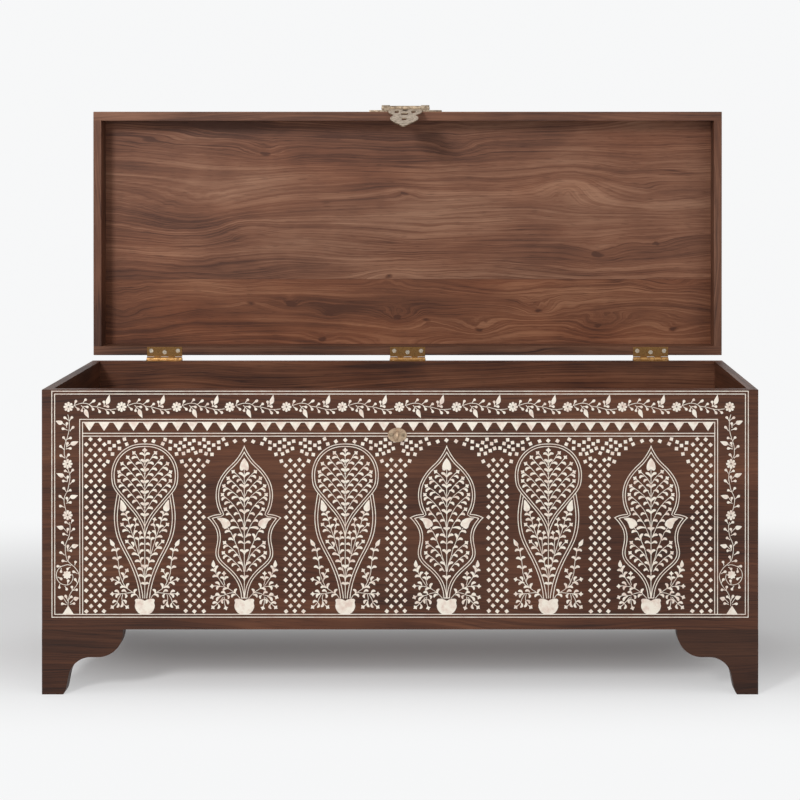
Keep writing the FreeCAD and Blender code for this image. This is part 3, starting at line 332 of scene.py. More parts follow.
def finished(name, group, values, bump, relief, turn=(0, 0, 0), shift=(0, 0, 0), roughness=0.0,
             metallic=0.0, specular=0.5):
    """A material whose pattern comes from a group on Object coordinates, turned to follow the piece."""
    material = bpy.data.materials.new(name)
    material.use_nodes = True
    tree = material.node_tree
    place = wire(tree, "ShaderNodeTexCoord", output="Object")
    place = wire(tree, "ShaderNodeMapping", {"Vector": place, "Rotation": turn, "Location": shift})
    values = {key: (*value, 1) if isinstance(value, tuple) else value for key, value in values.items()}
    pattern = node(tree, "ShaderNodeGroup", {"Vector": place, **values}, node_tree=group)
    tone, rough, height = (Wire(pattern.outputs[label]) for label, _ in FINISH_OUTPUTS)
    dents = wire(tree, "ShaderNodeBump", {"Strength": bump, "Distance": relief, "Height": height})
    surface = {"Base Color": tone, "Roughness": rough.maths("ADD", roughness, clamp=True), "Normal": dents,
               "Metallic": metallic, "Specular IOR Level": specular}
    for key, value in surface.items():
        feed(tree.nodes["Principled BSDF"].inputs[key], value)
    return material


def dress(names, finish):
    """Give CAD pieces a finish."""
    for name in names:
        slots = NODES[name].material_slots
        for place in slots:
            place.material = finish
        if not slots:
            NODES[name].data.materials.append(finish)


# Timber

TIMBER_BUMP, TIMBER_RELIEF = 0.35, 0.3 * MM
# Painted sheen: the rails' tint makes the lid's rails greyer than the carcass, standing for the shine on
# their faces
RAIL_SHEEN_TINT, INNER_TINT = (1.0, 1.19, 1.40), (1.03, 1.08, 1.16)
# The lid's panel is glued up from two boards: where the joint lies, as a share of the panel's height, how
# wide its line is on each side, how dark it is, and how far along the log the upper board comes from
PANEL_JOINT_SHARE, JOINT_LINE, JOINT_DARK, BOARD_SHIFT = 0.306, 0.9 * MM, 0.3, 3.7
LOW_BOARD_TINT = (0.98, 0.86, 0.75, 1)
LOW_BOARD_SWIRL, HIGH_BOARD_SWIRL = 0.05, 0.02
# How knots are drawn out along the grain, how their dark hearts fade, what stands for a knot without a dark
# heart, and how the edges of knots wobble
KNOT_STRETCH, HEART_ENDS, NO_HEART = (1.0, 0.0, 2.1), (-0.006, 0.003, 0.0, 0.75), -1.0
WOBBLE_SCALE, WOBBLE_MIDDLE, WOBBLE_REACH = 42.0, (0.5, 0.5, 0.5), (0.02, 0.0, 0.012)
# The panel's knots: places across and up the panel as shares of it, then in millimetres the reach along
# the grain, the rise of the figure over the knot and the radius of its dark heart
PANEL_KNOTS = (
    (0.805, 0.406, 52, 17, 8.5), (0.900, 0.453, 38, 8, 4.0), (0.762, 0.700, 60, -22, 0.0),
    (0.269, 0.825, 50, 14, 4.5), (0.239, 0.507, 46, -20, 0.0), (0.150, 0.560, 110, 34, 0.0),
    (0.495, 0.662, 24, -7, 3.0), (0.581, 0.845, 42, 22, 0.0), (0.469, 0.318, 44, -15, 4.0),
    (0.311, 0.203, 25, 12, 5.0), (0.246, 0.206, 28, -10, 3.0), (0.371, 0.164, 26, 12, 5.0),
    (0.485, 0.149, 36, 24, 5.0), (0.530, 0.132, 26, -14, 3.0), (0.614, 0.098, 44, 30, 4.0),
    (0.360, 0.058, 28, 10, 6.0), (0.710, 0.175, 44, 28, 5.0), (0.805, 0.115, 58, 38, 3.0),
    (0.926, 0.096, 36, 14, 6.0),
)


def knot_group():
    """One knot: how far it lifts the figure around it, and how dark it is."""
    inputs = [(label, "Vector") for label in ("Vector", "Centre")]
    inputs += [(label, "Float") for label in ("Reach", "Rise", "Heart")]
    tree, given, put = new_tree("Shader", "Knot", inputs, (("Lift", "Float"), ("Dark", "Float")))
    away = given["Vector"].vector_maths("SUBTRACT", given["Centre"]).stretched(KNOT_STRETCH)
    far = away.vector_maths("LENGTH", output="Value")
    reached = far.maths("DIVIDE", given["Reach"])
    feed(put["Lift"], (reached * reached * -1.0).maths("EXPONENT") * given["Rise"])
    feed(put["Dark"], (given["Heart"] - far).remap(*HEART_ENDS))
    return tree


def glued_panel(finish, name):
    """Boards of a glued-up panel, each with its own timber, and knots that the figure goes round."""
    tree = finish.node_tree
    low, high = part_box(name)
    place = wire(tree, "ShaderNodeTexCoord", output="Object")
    height = place.parts()[2]
    joint = low.z + PANEL_JOINT_SHARE * (high.z - low.z)
    upper = height.maths("GREATER_THAN", joint)
    dark = (height - joint).maths("ABSOLUTE").remap(0.0, JOINT_LINE, JOINT_DARK, 0.0)
    wobble = place.noise(WOBBLE_SCALE, output="Color").vector_maths("SUBTRACT", WOBBLE_MIDDLE)
    shaken = wobble.stretched(WOBBLE_REACH).vector_maths("ADD", place)
    lift, group = 0.0, knot_group()
    for across, up, reach, rise, heart in PANEL_KNOTS:
        centre = (low.x + across * (high.x - low.x), 0, low.z + up * (high.z - low.z))
        values = {"Vector": shaken, "Centre": centre, "Reach": reach * MM, "Rise": rise * MM,
                  "Heart": heart * MM if heart else NO_HEART}
        knot = node(tree, "ShaderNodeGroup", values, node_tree=group)
        lift = Wire(knot.outputs["Lift"]) + lift
        dark = Wire(knot.outputs["Dark"]).maths("MAXIMUM", dark)
    pattern = next(made for made in tree.nodes if made.type == "GROUP" and "Tint" in made.inputs)
    mapping = next(made for made in tree.nodes if made.type == "MAPPING")
    feed(mapping.inputs["Vector"], place.vector_maths("ADD", vector(tree, X=upper * BOARD_SHIFT)))
    swirl = upper.remap(0.0, 1.0, LOW_BOARD_SWIRL, HIGH_BOARD_SWIRL)
    tint = mix_colour(tree, upper, LOW_BOARD_TINT, WHITE)
    for key, value in (("Lift", lift), ("Heart", dark), ("Swirl", swirl), ("Tint", tint)):
        feed(pattern.inputs[key], value)


class TRUNK_OT_timber(bpy.types.Operator):
    """Waxed dark timber on the boards, the lid and the bracket feet"""
    bl_idname = "trunk.timber"
    bl_label = "Timber"

    def execute(self, context):
        sizes = settings().timber
        group = timber_group()
        shades = {"Dark": "dark", "Middle": "mid", "Light": "light"}
        front, lid = ({key: tuple(getattr(sizes, f"{place}_{shade}")) for key, shade in shades.items()}
                      for place in ("front", "lid"))
        foot, rail, inner = ({key: tuple(shade * part for part in value) for key, value in front.items()}
                             for shade in (sizes.foot_shade, sizes.rail_sheen, sizes.inner_shade))
        # The rails' lighter, greyer tones are a painted sheen
        rail["Tint"], inner["Tint"] = RAIL_SHEEN_TINT, INNER_TINT
        level, upright, across = (0, 0, 0), (0, math.radians(90), 0), (0, 0, math.radians(90))

        def timber(name, names, tones, turn, shift, **values):
            finish = finished(name, group, {**tones, **values}, TIMBER_BUMP, TIMBER_RELIEF, turn, shift,
                              sizes.gloss, specular=sizes.shine)
            dress(names, finish)
            return finish

        feet = [name for name in NODES if name.startswith("foot_")]
        returns = [name for name in feet if name.endswith("return")]
        faces = [name for name in feet if name not in returns]
        timber("Front timber", ["front_board"], front, level, (0.3, 0, 0), Contrast=0.85)
        timber("Inner timber", ["back_board", "bottom_panel"], inner, level, (2.3, 0.4, 0.7), Contrast=1.35)
        timber("End timber", ["left_end_board", "right_end_board"], front, across, (1.2, 0.3, 0))
        timber("Lid rail timber", ["lid_front_rail", "lid_back_rail"], rail, level, (0.6, 0.9, 1.3))
        timber("Lid end rail timber", ["lid_left_rail", "lid_right_rail"], rail, upright, (0.1, 2.2, 0.4))
        timber("Foot timber", faces, foot, level, (5.1, 0.2, 0.8))
        timber("Foot return timber", returns, foot, across, (3.1, 0.6, 0.5))
        panel = timber("Lid panel timber", ["lid_top_panel"], lid, level, (4.12, 1.1, 0.36), Wander=0.13,
                       Contrast=1.25)
        glued_panel(panel, "lid_top_panel")
        return {"FINISHED"}


# Metal

# Bump, relief and added roughness of a finish
SMOOTH_BRASS, PITTED_BRASS = (0.25, 0.2 * MM, 0.0), (0.4, 0.3 * MM, 0.08)


class TRUNK_OT_brass(bpy.types.Operator):
    """Aged brass on the butt hinges, the hasp and the catch"""
    bl_idname = "trunk.brass"
    bl_label = "Brass"

    def execute(self, context):
        sizes = settings().metal
        group = wear_group()
        screws = [name for name in NODES if name.endswith("hinge_screws")]
        hinges = [name for name in NODES if "hinge" in name and name not in screws]
        flap = ["hasp_flap", "hasp_pin", "catch_screws"]
        base = ["hasp_base_plate", "hasp_base_screws"]
        finishes = (
            ("Hinge brass", hinges, sizes.hinge, sizes.hinge_dark, 0.7, SMOOTH_BRASS),
            ("Screw brass", screws, sizes.screw, sizes.hinge, 0.6, SMOOTH_BRASS),
            ("Hasp brass", flap, sizes.hasp, sizes.hasp_dark, 0.8, PITTED_BRASS),
            ("Catch brass", ["catch_plate"], sizes.catch, sizes.catch_dark, 0.7, PITTED_BRASS),
            ("Hasp base brass", base, sizes.hasp_base, sizes.hasp_dark, 0.8, PITTED_BRASS),
        )
        for name, names, clean, tarnish, amount, (bump, relief, roughness) in finishes:
            values = {"Clean": tuple(clean), "Tarnish": tuple(tarnish), "Amount": amount}
            dress(names, finished(name, group, values, bump, relief, roughness=roughness, metallic=1.0))
        return {"FINISHED"}


# Bone

BONE_BUMP, BONE_RELIEF = 0.2, 0.1 * MM


class TRUNK_OT_bone(bpy.types.Operator):
    """Polished bone on the border lines, diamonds, triangles, pots and medallion outlines"""
    bl_idname = "trunk.bone"
    bl_label = "Bone slips"

    def execute(self, context):
        sizes = settings().inlay
        tones = {"Light": tuple(sizes.bone_light), "Dark": tuple(sizes.bone_dark)}
        finish = finished("Bone", bone_group(), tones, BONE_BUMP, BONE_RELIEF)
        dress([name for name in NODES if name.startswith("inlay")], finish)
        return {"FINISHED"}


# Shapes of the bone pieces. A leaf runs from its base (0) to the middle of its head (1): place along it,
# sideways bend and half width, the last two as shares of the leaf's width
COMMA_RIDGE = (
    (0.00, 0.00, 0.12), (0.20, 0.17, 0.20), (0.42, 0.25, 0.29), (0.64, 0.24, 0.40), (0.84, 0.13, 0.49),
    (1.00, 0.00, 0.50), (1.14, -0.12, 0.38), (1.24, -0.22, 0.00),
)
CLUB_RIDGE = (
    (0.00, 0.00, 0.12), (0.35, 0.06, 0.12), (0.60, 0.06, 0.20), (0.80, 0.03, 0.42), (1.00, 0.00, 0.50),
    (1.16, 0.00, 0.38), (1.27, 0.00, 0.00),
)
SPEAR_RIDGE = (
    (0.00, 0.00, 0.10), (0.08, 0.00, 0.30), (0.20, -0.03, 0.45), (0.34, -0.06, 0.50), (0.50, -0.07, 0.44),
    (0.68, -0.04, 0.31), (0.85, 0.00, 0.15), (1.00, 0.00, 0.00),
)
PETAL_RIDGE = (
    (0.00, 0.00, 0.09), (0.45, 0.00, 0.33), (0.72, 0.00, 0.43), (0.90, 0.00, 0.34), (1.00, 0.00, 0.12),
)
# Outlines in millimetres from their own middle, right and up
DROP_OUTLINE = (
    (-4.5, 10), (-5.5, -5), (-4, -8), (0, -9.5), (4, -7.5), (5.5, -3.5), (4.7, -0.5), (0.5, 6), (-3, 10),
)
SIDE_HEART_OUTLINE = (
    (-14, 8), (-6, 9.2), (0, 8.2), (5, 5.5), (8, 2), (9, -2), (7.5, -5), (4.5, -6.3), (2, -8.8),
    (-1.5, -9.3), (-4, -7), (-5.3, -2.5), (-8, 3),
)
TIP_HEART_HALF = ((0, 11.5), (3, 8), (6, 3), (7.4, -2), (7.5, -6), (6.5, -9), (3.8, -10), (0, -7))
# A floret's points and the hollows between them, and how blunt a point is, as a share of a quarter turn
FLORET_REACH, FLORET_WAIST, FLORET_BLUNT = 0.4992, 0.31, 0.08
# The flower in the coiled shoot: its mean reach and how far its lobes go in and out
EYE_REACH, EYE_LOBE = 0.44, 0.06
ROSETTE_PETALS, STEPS_PER_LOBE = 8, 6
# A slip's upright wall as a share of its thickness, and its rounded edge as a share of its length
WALL_SHARE, ROUND_OVER_SHARE = 0.65, 0.03
# Pieces of a stem between two of its drawn points
STEM_STEPS = 3


def ridged(ridge, hand):
    """Closed outline of a leaf that bends to one hand."""
    left = [(x, hand * bend + half) for x, bend, half in ridge]
    right = [(x, hand * bend - half) for x, bend, half in reversed(ridge) if half]
    return left + right


def polar(points):
    """Corners from angles and reaches."""
    return [(reach * math.cos(angle), reach * math.sin(angle)) for angle, reach in points]


def star_outline():
    """A small square of four points with hollow sides, one point along X."""
    turns = ((-FLORET_BLUNT, FLORET_REACH), (FLORET_BLUNT, FLORET_REACH), (0.5, FLORET_WAIST))
    return polar([((corner + turn) * math.pi / 2, reach) for corner in range(4) for turn, reach in turns])


def lobed_outline():
    """A solid flower with as many lobes as a rosette has petals."""
    steps = STEPS_PER_LOBE * ROSETTE_PETALS
    angles = [2 * math.pi * step / steps for step in range(steps)]
    return polar([(angle, EYE_REACH + EYE_LOBE * math.cos(ROSETTE_PETALS * angle)) for angle in angles])


def slip_outlines():
    """Outlines of every kind of slip, those of one hand in a left and a right form."""
    outlines = {"floret": star_outline(), "petal": ridged(PETAL_RIDGE, 0), "eye": lobed_outline()}
    outlines["tip_heart"] = [*TIP_HEART_HALF, *((-x, z) for x, z in reversed(TIP_HEART_HALF) if x)]
    for name, ridge in (("comma", COMMA_RIDGE), ("club", CLUB_RIDGE), ("spear", SPEAR_RIDGE)):
        outlines[f"{name}_left"], outlines[f"{name}_right"] = ridged(ridge, -1), ridged(ridge, 1)
    for name, outline in (("drop", DROP_OUTLINE), ("side_heart", SIDE_HEART_OUTLINE)):
        outlines[f"{name}_left"] = list(outline)
        outlines[f"{name}_right"] = [(x, -z) for x, z in outline]
    return outlines


def slip_mesh(name, outline, thickness):
    """A slip that faces -Y with a softened edge, from its outline in the XZ plane."""
    build = bmesh.new()
    long = max(x for x, _ in outline) - min(x for x, _ in outline)
    layers = ((0.0, 0.0), (WALL_SHARE * thickness, 0.0), (thickness, ROUND_OVER_SHARE * long))
    rims = [[build.verts.new((x, -depth, z)) for x, z in inward(outline, inset)] for depth, inset in layers]
    for low, high in zip(rims, rims[1:]):
        for i in range(len(outline)):
            after = (i + 1) % len(outline)
            build.faces.new((low[i], low[after], high[after], high[i]))
    build.faces.new(rims[-1])
    build.faces.new(rims[0])
    bmesh.ops.recalc_face_normals(build, faces=build.faces)
    mesh = bpy.data.meshes.new(name)
    build.to_mesh(mesh)
    build.free()
    return mesh


def inward(outline, inset):
    """The outline with each corner moved inwards."""
    area = sum(a[0] * b[1] - b[0] * a[1] for a, b in zip(outline, outline[1:] + outline[:1]))
    moved = []
    for i, (x, z) in enumerate(outline):
        before, after = Vector(outline[i - 1]), Vector(outline[(i + 1) % len(outline)])
        way = (after - before).normalized() * math.copysign(inset, area)
        moved.append((x - way.y, z + way.x))
    return moved


def geometry_tree(name, inputs):
    """A Geometry Nodes tree with named inputs and one geometry in and out."""
    shape = ("Geometry", "Geometry")
    return new_tree("Geometry", name, (shape, *inputs, ("Material", "Material")), (shape,))


def close_tree(shape, given, put):
    """End a Geometry Nodes tree in real geometry with its material."""
    real = wire(shape.tree, "GeometryNodeRealizeInstances", {"Geometry": shape})
    dressed = {"Geometry": real, "Material": given["Material"]}
    feed(put["Geometry"], wire(shape.tree, "GeometryNodeSetMaterial", dressed))
    return shape.tree


def scatter_tree():
    """One slip of bone on every point, turned in the plane of the board and sized by the point."""
    tree, given, put = geometry_tree("Set slips", (("Slip", "Object"),))
    slip = wire(tree, "GeometryNodeObjectInfo", {"Object": given["Slip"]}, "Geometry")
    turn, length, width = (wire(tree, "GeometryNodeInputNamedAttribute", {"Name": name}, "Attribute",
                                data_type="FLOAT") for name in ("turn", "length", "width"))
    placed = wire(tree, "GeometryNodeInstanceOnPoints", {
        "Points": given["Geometry"], "Instance": slip, "Rotation": vector(tree, Y=turn * -1.0),
        "Scale": vector(tree, X=length, Y=1.0, Z=width)})
    return close_tree(placed, given, put)


def stem_tree():
    """Round bone stems along drawn lines, flattened towards the board."""
    tree, given, put = geometry_tree("Run stems", (
        ("Width", "Float"), ("Face", "Float"), ("Flatten", "Float"), ("Sides", "Int")))
    curve = wire(tree, "GeometryNodeMeshToCurve", {"Mesh": given["Geometry"]})
    round_shape = {"Resolution": given["Sides"], "Radius": given["Width"] * 0.5}
    ring = wire(tree, "GeometryNodeCurvePrimitiveCircle", round_shape)
    tube = wire(tree, "GeometryNodeCurveToMesh", {"Curve": curve, "Profile Curve": ring, "Fill Caps": True})
    x, y, z = wire(tree, "GeometryNodeInputPosition").parts()
    depth = (y - given["Face"]).times_plus(given["Flatten"], given["Face"])
    flat = {"Geometry": tube, "Position": vector(tree, X=x, Y=depth, Z=z)}
    return close_tree(wire(tree, "GeometryNodeSetPosition", flat), given, put)


def tree_once(name, make):
    return bpy.data.node_groups.get(name) or make()


def applied(name, source, tree, values):
    """The plain mesh that a Geometry Nodes tree makes of a source mesh."""
    holder = bpy.data.objects.new(name, source)
    bpy.context.scene.collection.objects.link(holder)
    modifier = holder.modifiers.new("Nodes", "NODES")
    modifier.node_group = tree
    for item in tree.interface.items_tree:
        if item.item_type == "SOCKET" and item.in_out == "INPUT" and item.name in values:
            modifier[item.identifier] = values[item.name]
    holder.update_tag()
    bpy.context.view_layer.update()
    mesh = bpy.data.meshes.new_from_object(holder.evaluated_get(bpy.context.evaluated_depsgraph_get()))
    holder.modifiers.clear()
    holder.data = mesh
    mesh.name = name
    bpy.data.meshes.remove(source)
    return holder


class Spray:
    """Bone leaves and stems drawn in millimetres: across from a middle and down from the board's rim."""

    def __init__(self):
        self.slips = {}
        self.stems = []

    def slip(self, kind, place, turn=0, length=1, width=1):
        self.slips.setdefault(kind, []).append((*place, turn, length, width))

    def leaves(self, kind, places, width):
        """Leaves, each from its base to its head and bent the way its side calls for."""
        for head_u, head_v, base_u, base_v in places:
            hand = "left" if head_u < base_u else "right"
            turn = math.atan2(base_v - head_v, head_u - base_u)
            length = math.dist((head_u, head_v), (base_u, base_v))
            self.slip(f"{kind}_{hand}", (base_u, base_v), turn, length, width)

    def grow(self, paths):
        """Stems, each along a smooth line through its points."""
        self.stems += [curved(path) for path in paths]

    def branches(self, paths, size):
        """Stems that each end in a floret with a point straight ahead."""
        self.grow(paths)
        for tip, below, *_ in paths:
            self.slip("floret", tip, math.atan2(below[1] - tip[1], tip[0] - below[0]), size, size)

    def turned_over(self):
        """The mirror image of this spray about its middle."""
        image = Spray()
        swap = {"left": "right", "right": "left"}
        for kind, items in self.slips.items():
            head, _, hand = kind.rpartition("_")
            other = f"{head}_{swap[hand]}" if hand in swap else kind
            image.slips[other] = [(-u, v, math.pi - turn, *rest) for u, v, turn, *rest in items]
        image.stems = [[(-u, v) for u, v in path] for path in self.stems]
        return image

    def doubled(self):
        """This spray together with its mirror image."""
        whole = self.turned_over()
        whole.add(self)
        return whole

    def add(self, other, shift=0.0, stretch=1.0, drop=0.0):
        """Lay another spray into this one, moved across and down, with its places spread out."""
        for kind, items in other.slips.items():
            moved = [(u * stretch + shift, v + drop, *rest) for u, v, *rest in items]
            self.slips.setdefault(kind, []).extend(moved)
        self.stems += [[(u * stretch + shift, v + drop) for u, v in path] for path in other.stems]


def curved(points):
    """Points along a smooth line through the given ones."""
    if len(points) < 3:
        return list(points)
    ends = [tuple(2 * a - b for a, b in zip(points[0], points[1]))] + list(points)
    ends.append(tuple(2 * a - b for a, b in zip(points[-1], points[-2])))
    path = []
    for p0, p1, p2, p3 in zip(ends, ends[1:], ends[2:], ends[3:]):
        for i in range(STEM_STEPS):
            t = i / STEM_STEPS
            path.append(tuple(0.5 * (2 * b + (c - a) * t + (2 * a - 5 * b + 4 * c - d) * t * t
                                     + (3 * b - a - 3 * c + d) * t ** 3)
                              for a, b, c, d in zip(p0, p1, p2, p3)))
    return path + [tuple(points[-1])]


def on_board(u, v):
    """A drawn place in metres, on the front board."""
    return (u * MM, FACE_Y, RIM_Z - v * MM)


def lay_slips(name, kind, items):
    """One piece of all slips of a kind."""
    drawn = slip_mesh(kind, slip_outlines()[kind], settings().inlay.thickness)
    holder = bpy.data.objects.new(f"{kind}_slip", drawn)
    bpy.context.scene.collection.objects.link(holder)
    mesh = bpy.data.meshes.new(f"{name}_{kind}")
    mesh.from_pydata([on_board(u, v) for u, v, *_ in items], [], [])
    for key, column, unit in (("turn", 2, 1), ("length", 3, MM), ("width", 4, MM)):
        attribute = mesh.attributes.new(key, "FLOAT", "POINT")
        attribute.data.foreach_set("value", [item[column] * unit for item in items])
    values = {"Slip": holder, "Material": bpy.data.materials["Bone"]}
    piece = applied(f"{name}_{kind}", mesh, tree_once("Set slips", scatter_tree), values)
    bpy.data.objects.remove(holder)
    return piece


def lay_stems(name, paths):
    """One piece of all stems."""
    sizes = settings().inlay
    points, edges = [], []
    for path in paths:
        edges += [(len(points) + i, len(points) + i + 1) for i in range(len(path) - 1)]
        points += [on_board(u, v) for u, v in path]
    mesh = bpy.data.meshes.new(f"{name}_stems")
    mesh.from_pydata(points, edges, [])
    values = {"Width": sizes.stem_width, "Face": FACE_Y, "Flatten": 2 * sizes.thickness / sizes.stem_width,
              "Sides": sizes.stem_sides, "Material": bpy.data.materials["Bone"]}
    return applied(f"{name}_stems", mesh, tree_once("Run stems", stem_tree), values)


def lay_spray(name, spray):
    """Turn a spray into meshes on the board and make them part of the carcass."""
    made = [lay_slips(name, kind, items) for kind, items in spray.slips.items()]
    for piece in (*made, lay_stems(name, spray.stems)):
        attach(piece, "carcass")


# Medallions and pots. The middles of the figures lie across the front as shares of its half width
MEDALLION_SHARES = (-0.7125, -0.4347, -0.1530, 0.1302, 0.4140, 0.7005)
MEDALLION_X = [share * HALF_WIDTH / MM for share in MEDALLION_SHARES]
# The left half of each figure, in millimetres across from its middle and down from the rim. A branch
# starts at its floret. A leaf is its head and its base.
STEM_FOOT = 350
ROUND_SHIFT, ROUND_STEM_TOP = 0.5, 104
# The drop at the teardrop's waist, and the larger floret at the head of its stem
DROP_PLACE, CROWN_PLACE, CROWN_SCALE = (-36, 195), (0, 101.5), 1.15
ROUND_BRANCHES = (
    ((-18.5, 106), (-15, 109), (-11, 116), (-6, 122.5), (-2, 130), (0, 135)),
    ((-29, 113.5), (-26, 117), (-20, 124), (-12, 133), (-7, 140), (-2, 148), (0, 152)),
    ((-38.5, 124), (-36, 125.5), (-30, 131), (-24, 138), (-17, 146), (-11, 152.5), (-6, 159.5), (0, 170)),
    ((-43.5, 138), (-39, 141), (-30, 148.5), (-22, 157.5), (-15, 166), (-9, 173), (-6, 178.5), (0, 188)),
    ((-43.5, 153), (-39, 157), (-30, 166.5), (-21, 177), (-12, 188), (-7, 196), (-2, 204), (0, 208)),
    ((-38.5, 226), (-36, 228), (-31, 233), (-25, 240)),
    ((-30.5, 254.5), (-27.5, 257), (-22, 263), (-16, 271)),
    ((-17, 217.5), (-15, 226), (-17, 232), (-19, 240), (-18.5, 250)),
    ((-8, 240), (-9, 247), (-11, 252), (-10.5, 262), (-10, 275)),
)
ROUND_STEMS = (
    ((-33, 205), (-30.5, 212), (-28, 220), (-26, 228), (-22, 240), (-18.5, 250), (-15, 262), (-12, 272),
     (-9, 283), (-6, 295), (-3.5, 305), (-1.5, 316), (0, 325)),
)
ROUND_LEAVES = (
    (-7, 106.8, -1, 111.5), (-20.5, 114, -12, 114.5), (-14, 123.5, -6, 124), (-28.5, 124, -20.5, 123),
    (-19.5, 133.5, -11.5, 134), (-13.5, 143, -5, 143), (-38, 133.5, -30, 131.5), (-29.5, 142, -21, 141.5),
    (-20.5, 151.5, -12, 151.5), (-12.5, 160, -5, 162), (-44, 145, -37, 143.5), (-35.5, 151.8, -28, 151),
    (-27.5, 161, -20, 159.5), (-19.5, 169.5, -12, 169.5), (-12.5, 180, -4, 182),
    (-42.5, 162, -34.5, 161.5), (-36.5, 170, -29, 168.5), (-28, 178.5, -20, 177), (-20, 188, -12, 187),
    (-12.5, 198.5, -5, 200), (-38.5, 208.5, -31.5, 211.5), (-28.5, 204.5, -31, 210),
    (-36.5, 217.5, -29, 220), (-25.5, 214.5, -28, 220), (-30, 228, -26, 232), (-21.5, 226.5, -24, 234),
    (-36.5, 236.5, -29, 237), (-28, 246, -20, 248.5), (-21, 256.5, -20, 264), (-27.5, 265, -19, 267),
    (-20, 275, -11, 278.5), (-15, 287, -7, 290), (-10.5, 299.5, -4, 304), (-9, 311, -1.5, 315.5),
    (-5, 324, 0, 329), (-4, 258, -9, 262), (-4.5, 269, -8.5, 275), (-4.5, 282, -7, 289),
    (-4.5, 294.5, -2, 300), (-15, 248.5, -11, 254), (-4, 247.5, -9, 251), (-12.5, 226, -18, 230),
    (-15, 237, -18, 243),
)
# The pairs of leaves up the stem: how far down each lies, how far across the head and the base of one are,
# and how much lower the base is
ROUND_PAIR_DROPS = (118, 133.5, 153, 170.5, 190.5, 208.5)
PAIR_HEAD, PAIR_BASE, PAIR_RISE = -5.0, 0.5, 8
POINTED_SHIFT, POINTED_STEM_TOP = 2.0, 132
SIDE_HEART_PLACE, TIP_HEART_PLACE = (-32, 224), (0, 126)
POINTED_BRANCHES = (
    ((-20.5, 137.5), (-17, 140), (-12, 145), (-8, 149.5), (-5, 154), (-3, 158)),
    ((-29, 148.5), (-26, 150.5), (-20, 156), (-14, 162), (-10, 167), (-7, 170), (-3, 179)),
    ((-36, 161.5), (-33, 163.5), (-26, 168), (-19, 173.5), (-13, 179), (-9, 185), (-6, 191), (-3, 197)),
    ((-38.5, 176), (-35.5, 179), (-30, 183.5), (-25, 188), (-20, 193.5), (-15, 200), (-11, 207),
     (-8, 214), (-4.5, 222), (-3, 230)),
    ((-33.5, 200.5), (-30, 203), (-26, 208), (-22, 213), (-18, 219), (-14, 225), (-11, 231), (-8, 238),
     (-4, 247)),
    ((-35, 256.5), (-32, 259), (-27, 263), (-21, 268), (-16, 273.5), (-12, 279), (-8, 287)),
    ((-37, 273.5), (-34, 276), (-29, 279.5), (-24, 283), (-19, 288), (-14, 293), (-10, 298), (-6, 305)),
)
POINTED_STEMS = (
    ((-30, 231), (-27, 236), (-24, 240), (-21, 247), (-18.5, 253), (-16, 259), (-13, 266), (-11, 273),
     (-9, 281), (-6, 289), (-4, 297), (-3, 305)),
)
POINTED_LEAVES = (
    (-8.5, 140, -2, 148), (-7.6, 159.6, -2, 166), (-8, 181.5, -2, 189), (-8, 202, -2, 209),
    (-5.4, 231.8, -2.3, 238), (-10.5, 255.5, -3, 258), (-7, 269, -2.5, 276), (-10.5, 289.5, -4, 296),
    (-6.5, 312.5, -2.5, 320), (-20.5, 146.5, -13.5, 145.5), (-13.5, 153, -7, 151.5),
    (-29.5, 156, -21.5, 154), (-21.5, 163.5, -14.5, 161), (-13.5, 170.5, -6, 169.5),
    (-36, 169, -28.5, 166.5), (-29, 175.5, -21.5, 172.5), (-21.5, 181.5, -13, 180.5),
    (-13.5, 191.5, -6.5, 190), (-39, 183.5, -32, 181.5), (-34, 190.5, -26, 189.5), (-26, 197, -18, 195),
    (-18, 208.5, -11, 208.5), (-11.5, 219.5, -4.5, 221), (-31, 208.5, -24, 210.5),
    (-23.5, 219.5, -17, 221.5), (-23.5, 232, -11, 232), (-11, 243, -4, 248), (-33, 238, -25, 238.5),
    (-27, 250, -20, 253), (-17.5, 243, -18.5, 252), (-18.5, 263, -12, 267), (-36, 264, -29, 262.5),
    (-27.5, 271.5, -20, 269.5), (-19, 278.5, -11.5, 278), (-36.5, 281.5, -29.5, 279),
    (-29, 287, -21.5, 284.5), (-22, 294, -15.5, 293), (-13, 302, -6.5, 303),
)
TALL_SPRAY_BUDS = ((-58.5, 250.5, -51.5, 262),)
TALL_SPRAY_STEMS = (
    ((-51.5, 262), (-48, 270), (-46, 280), (-44.5, 288), (-43.5, 298), (-42.5, 308), (-39, 318),
     (-35.5, 326), (-30, 333), (-22, 338.5), (-14, 344), (-10, 350)),
)
TALL_SPRAY_BRANCHES = (
    ((-30, 303), (-32, 306), (-35, 313), (-37, 322)),
    ((-54.5, 318), (-50, 319), (-43, 323), (-38, 328)),
    ((-54.5, 342.5), (-46, 342), (-38, 342), (-30, 341), (-21, 340)),
    ((-54.5, 364.5), (-50, 361), (-46, 356), (-44.5, 351), (-40, 343)),
    ((-29.5, 364.5), (-34, 361), (-37, 356), (-38.5, 350), (-37, 343)),
)
TALL_SPRAY_LEAVES = (
    (-54.5, 269, -48, 270.5), (-44, 266.5, -47, 272), (-52, 282, -45.5, 286.5), (-41, 280.5, -45, 286),
    (-50.5, 296.5, -44.5, 300.5), (-38.5, 296.5, -43, 301.5), (-38, 307.5, -36.5, 314),
    (-30.5, 313, -36, 318.5), (-45.5, 314.5, -43.5, 321.5), (-48.5, 325, -40, 323.5),
    (-28.5, 326, -29, 334), (-39.5, 330.5, -32, 332.5), (-48.5, 337, -43, 341.5),
    (-37, 336.5, -31, 339.5), (-48, 346.5, -42, 343), (-53, 355.5, -46.5, 355.5), (-45, 364, -45.5, 357),
    (-31.5, 356.5, -37, 353), (-38.5, 363, -38.5, 355), (-31, 347.5, -34, 342.5),
    (-15.5, 335.5, -17, 342.5), (-22, 345.5, -15, 344),
)
LOW_SPRAY_SHIFT = 2.5
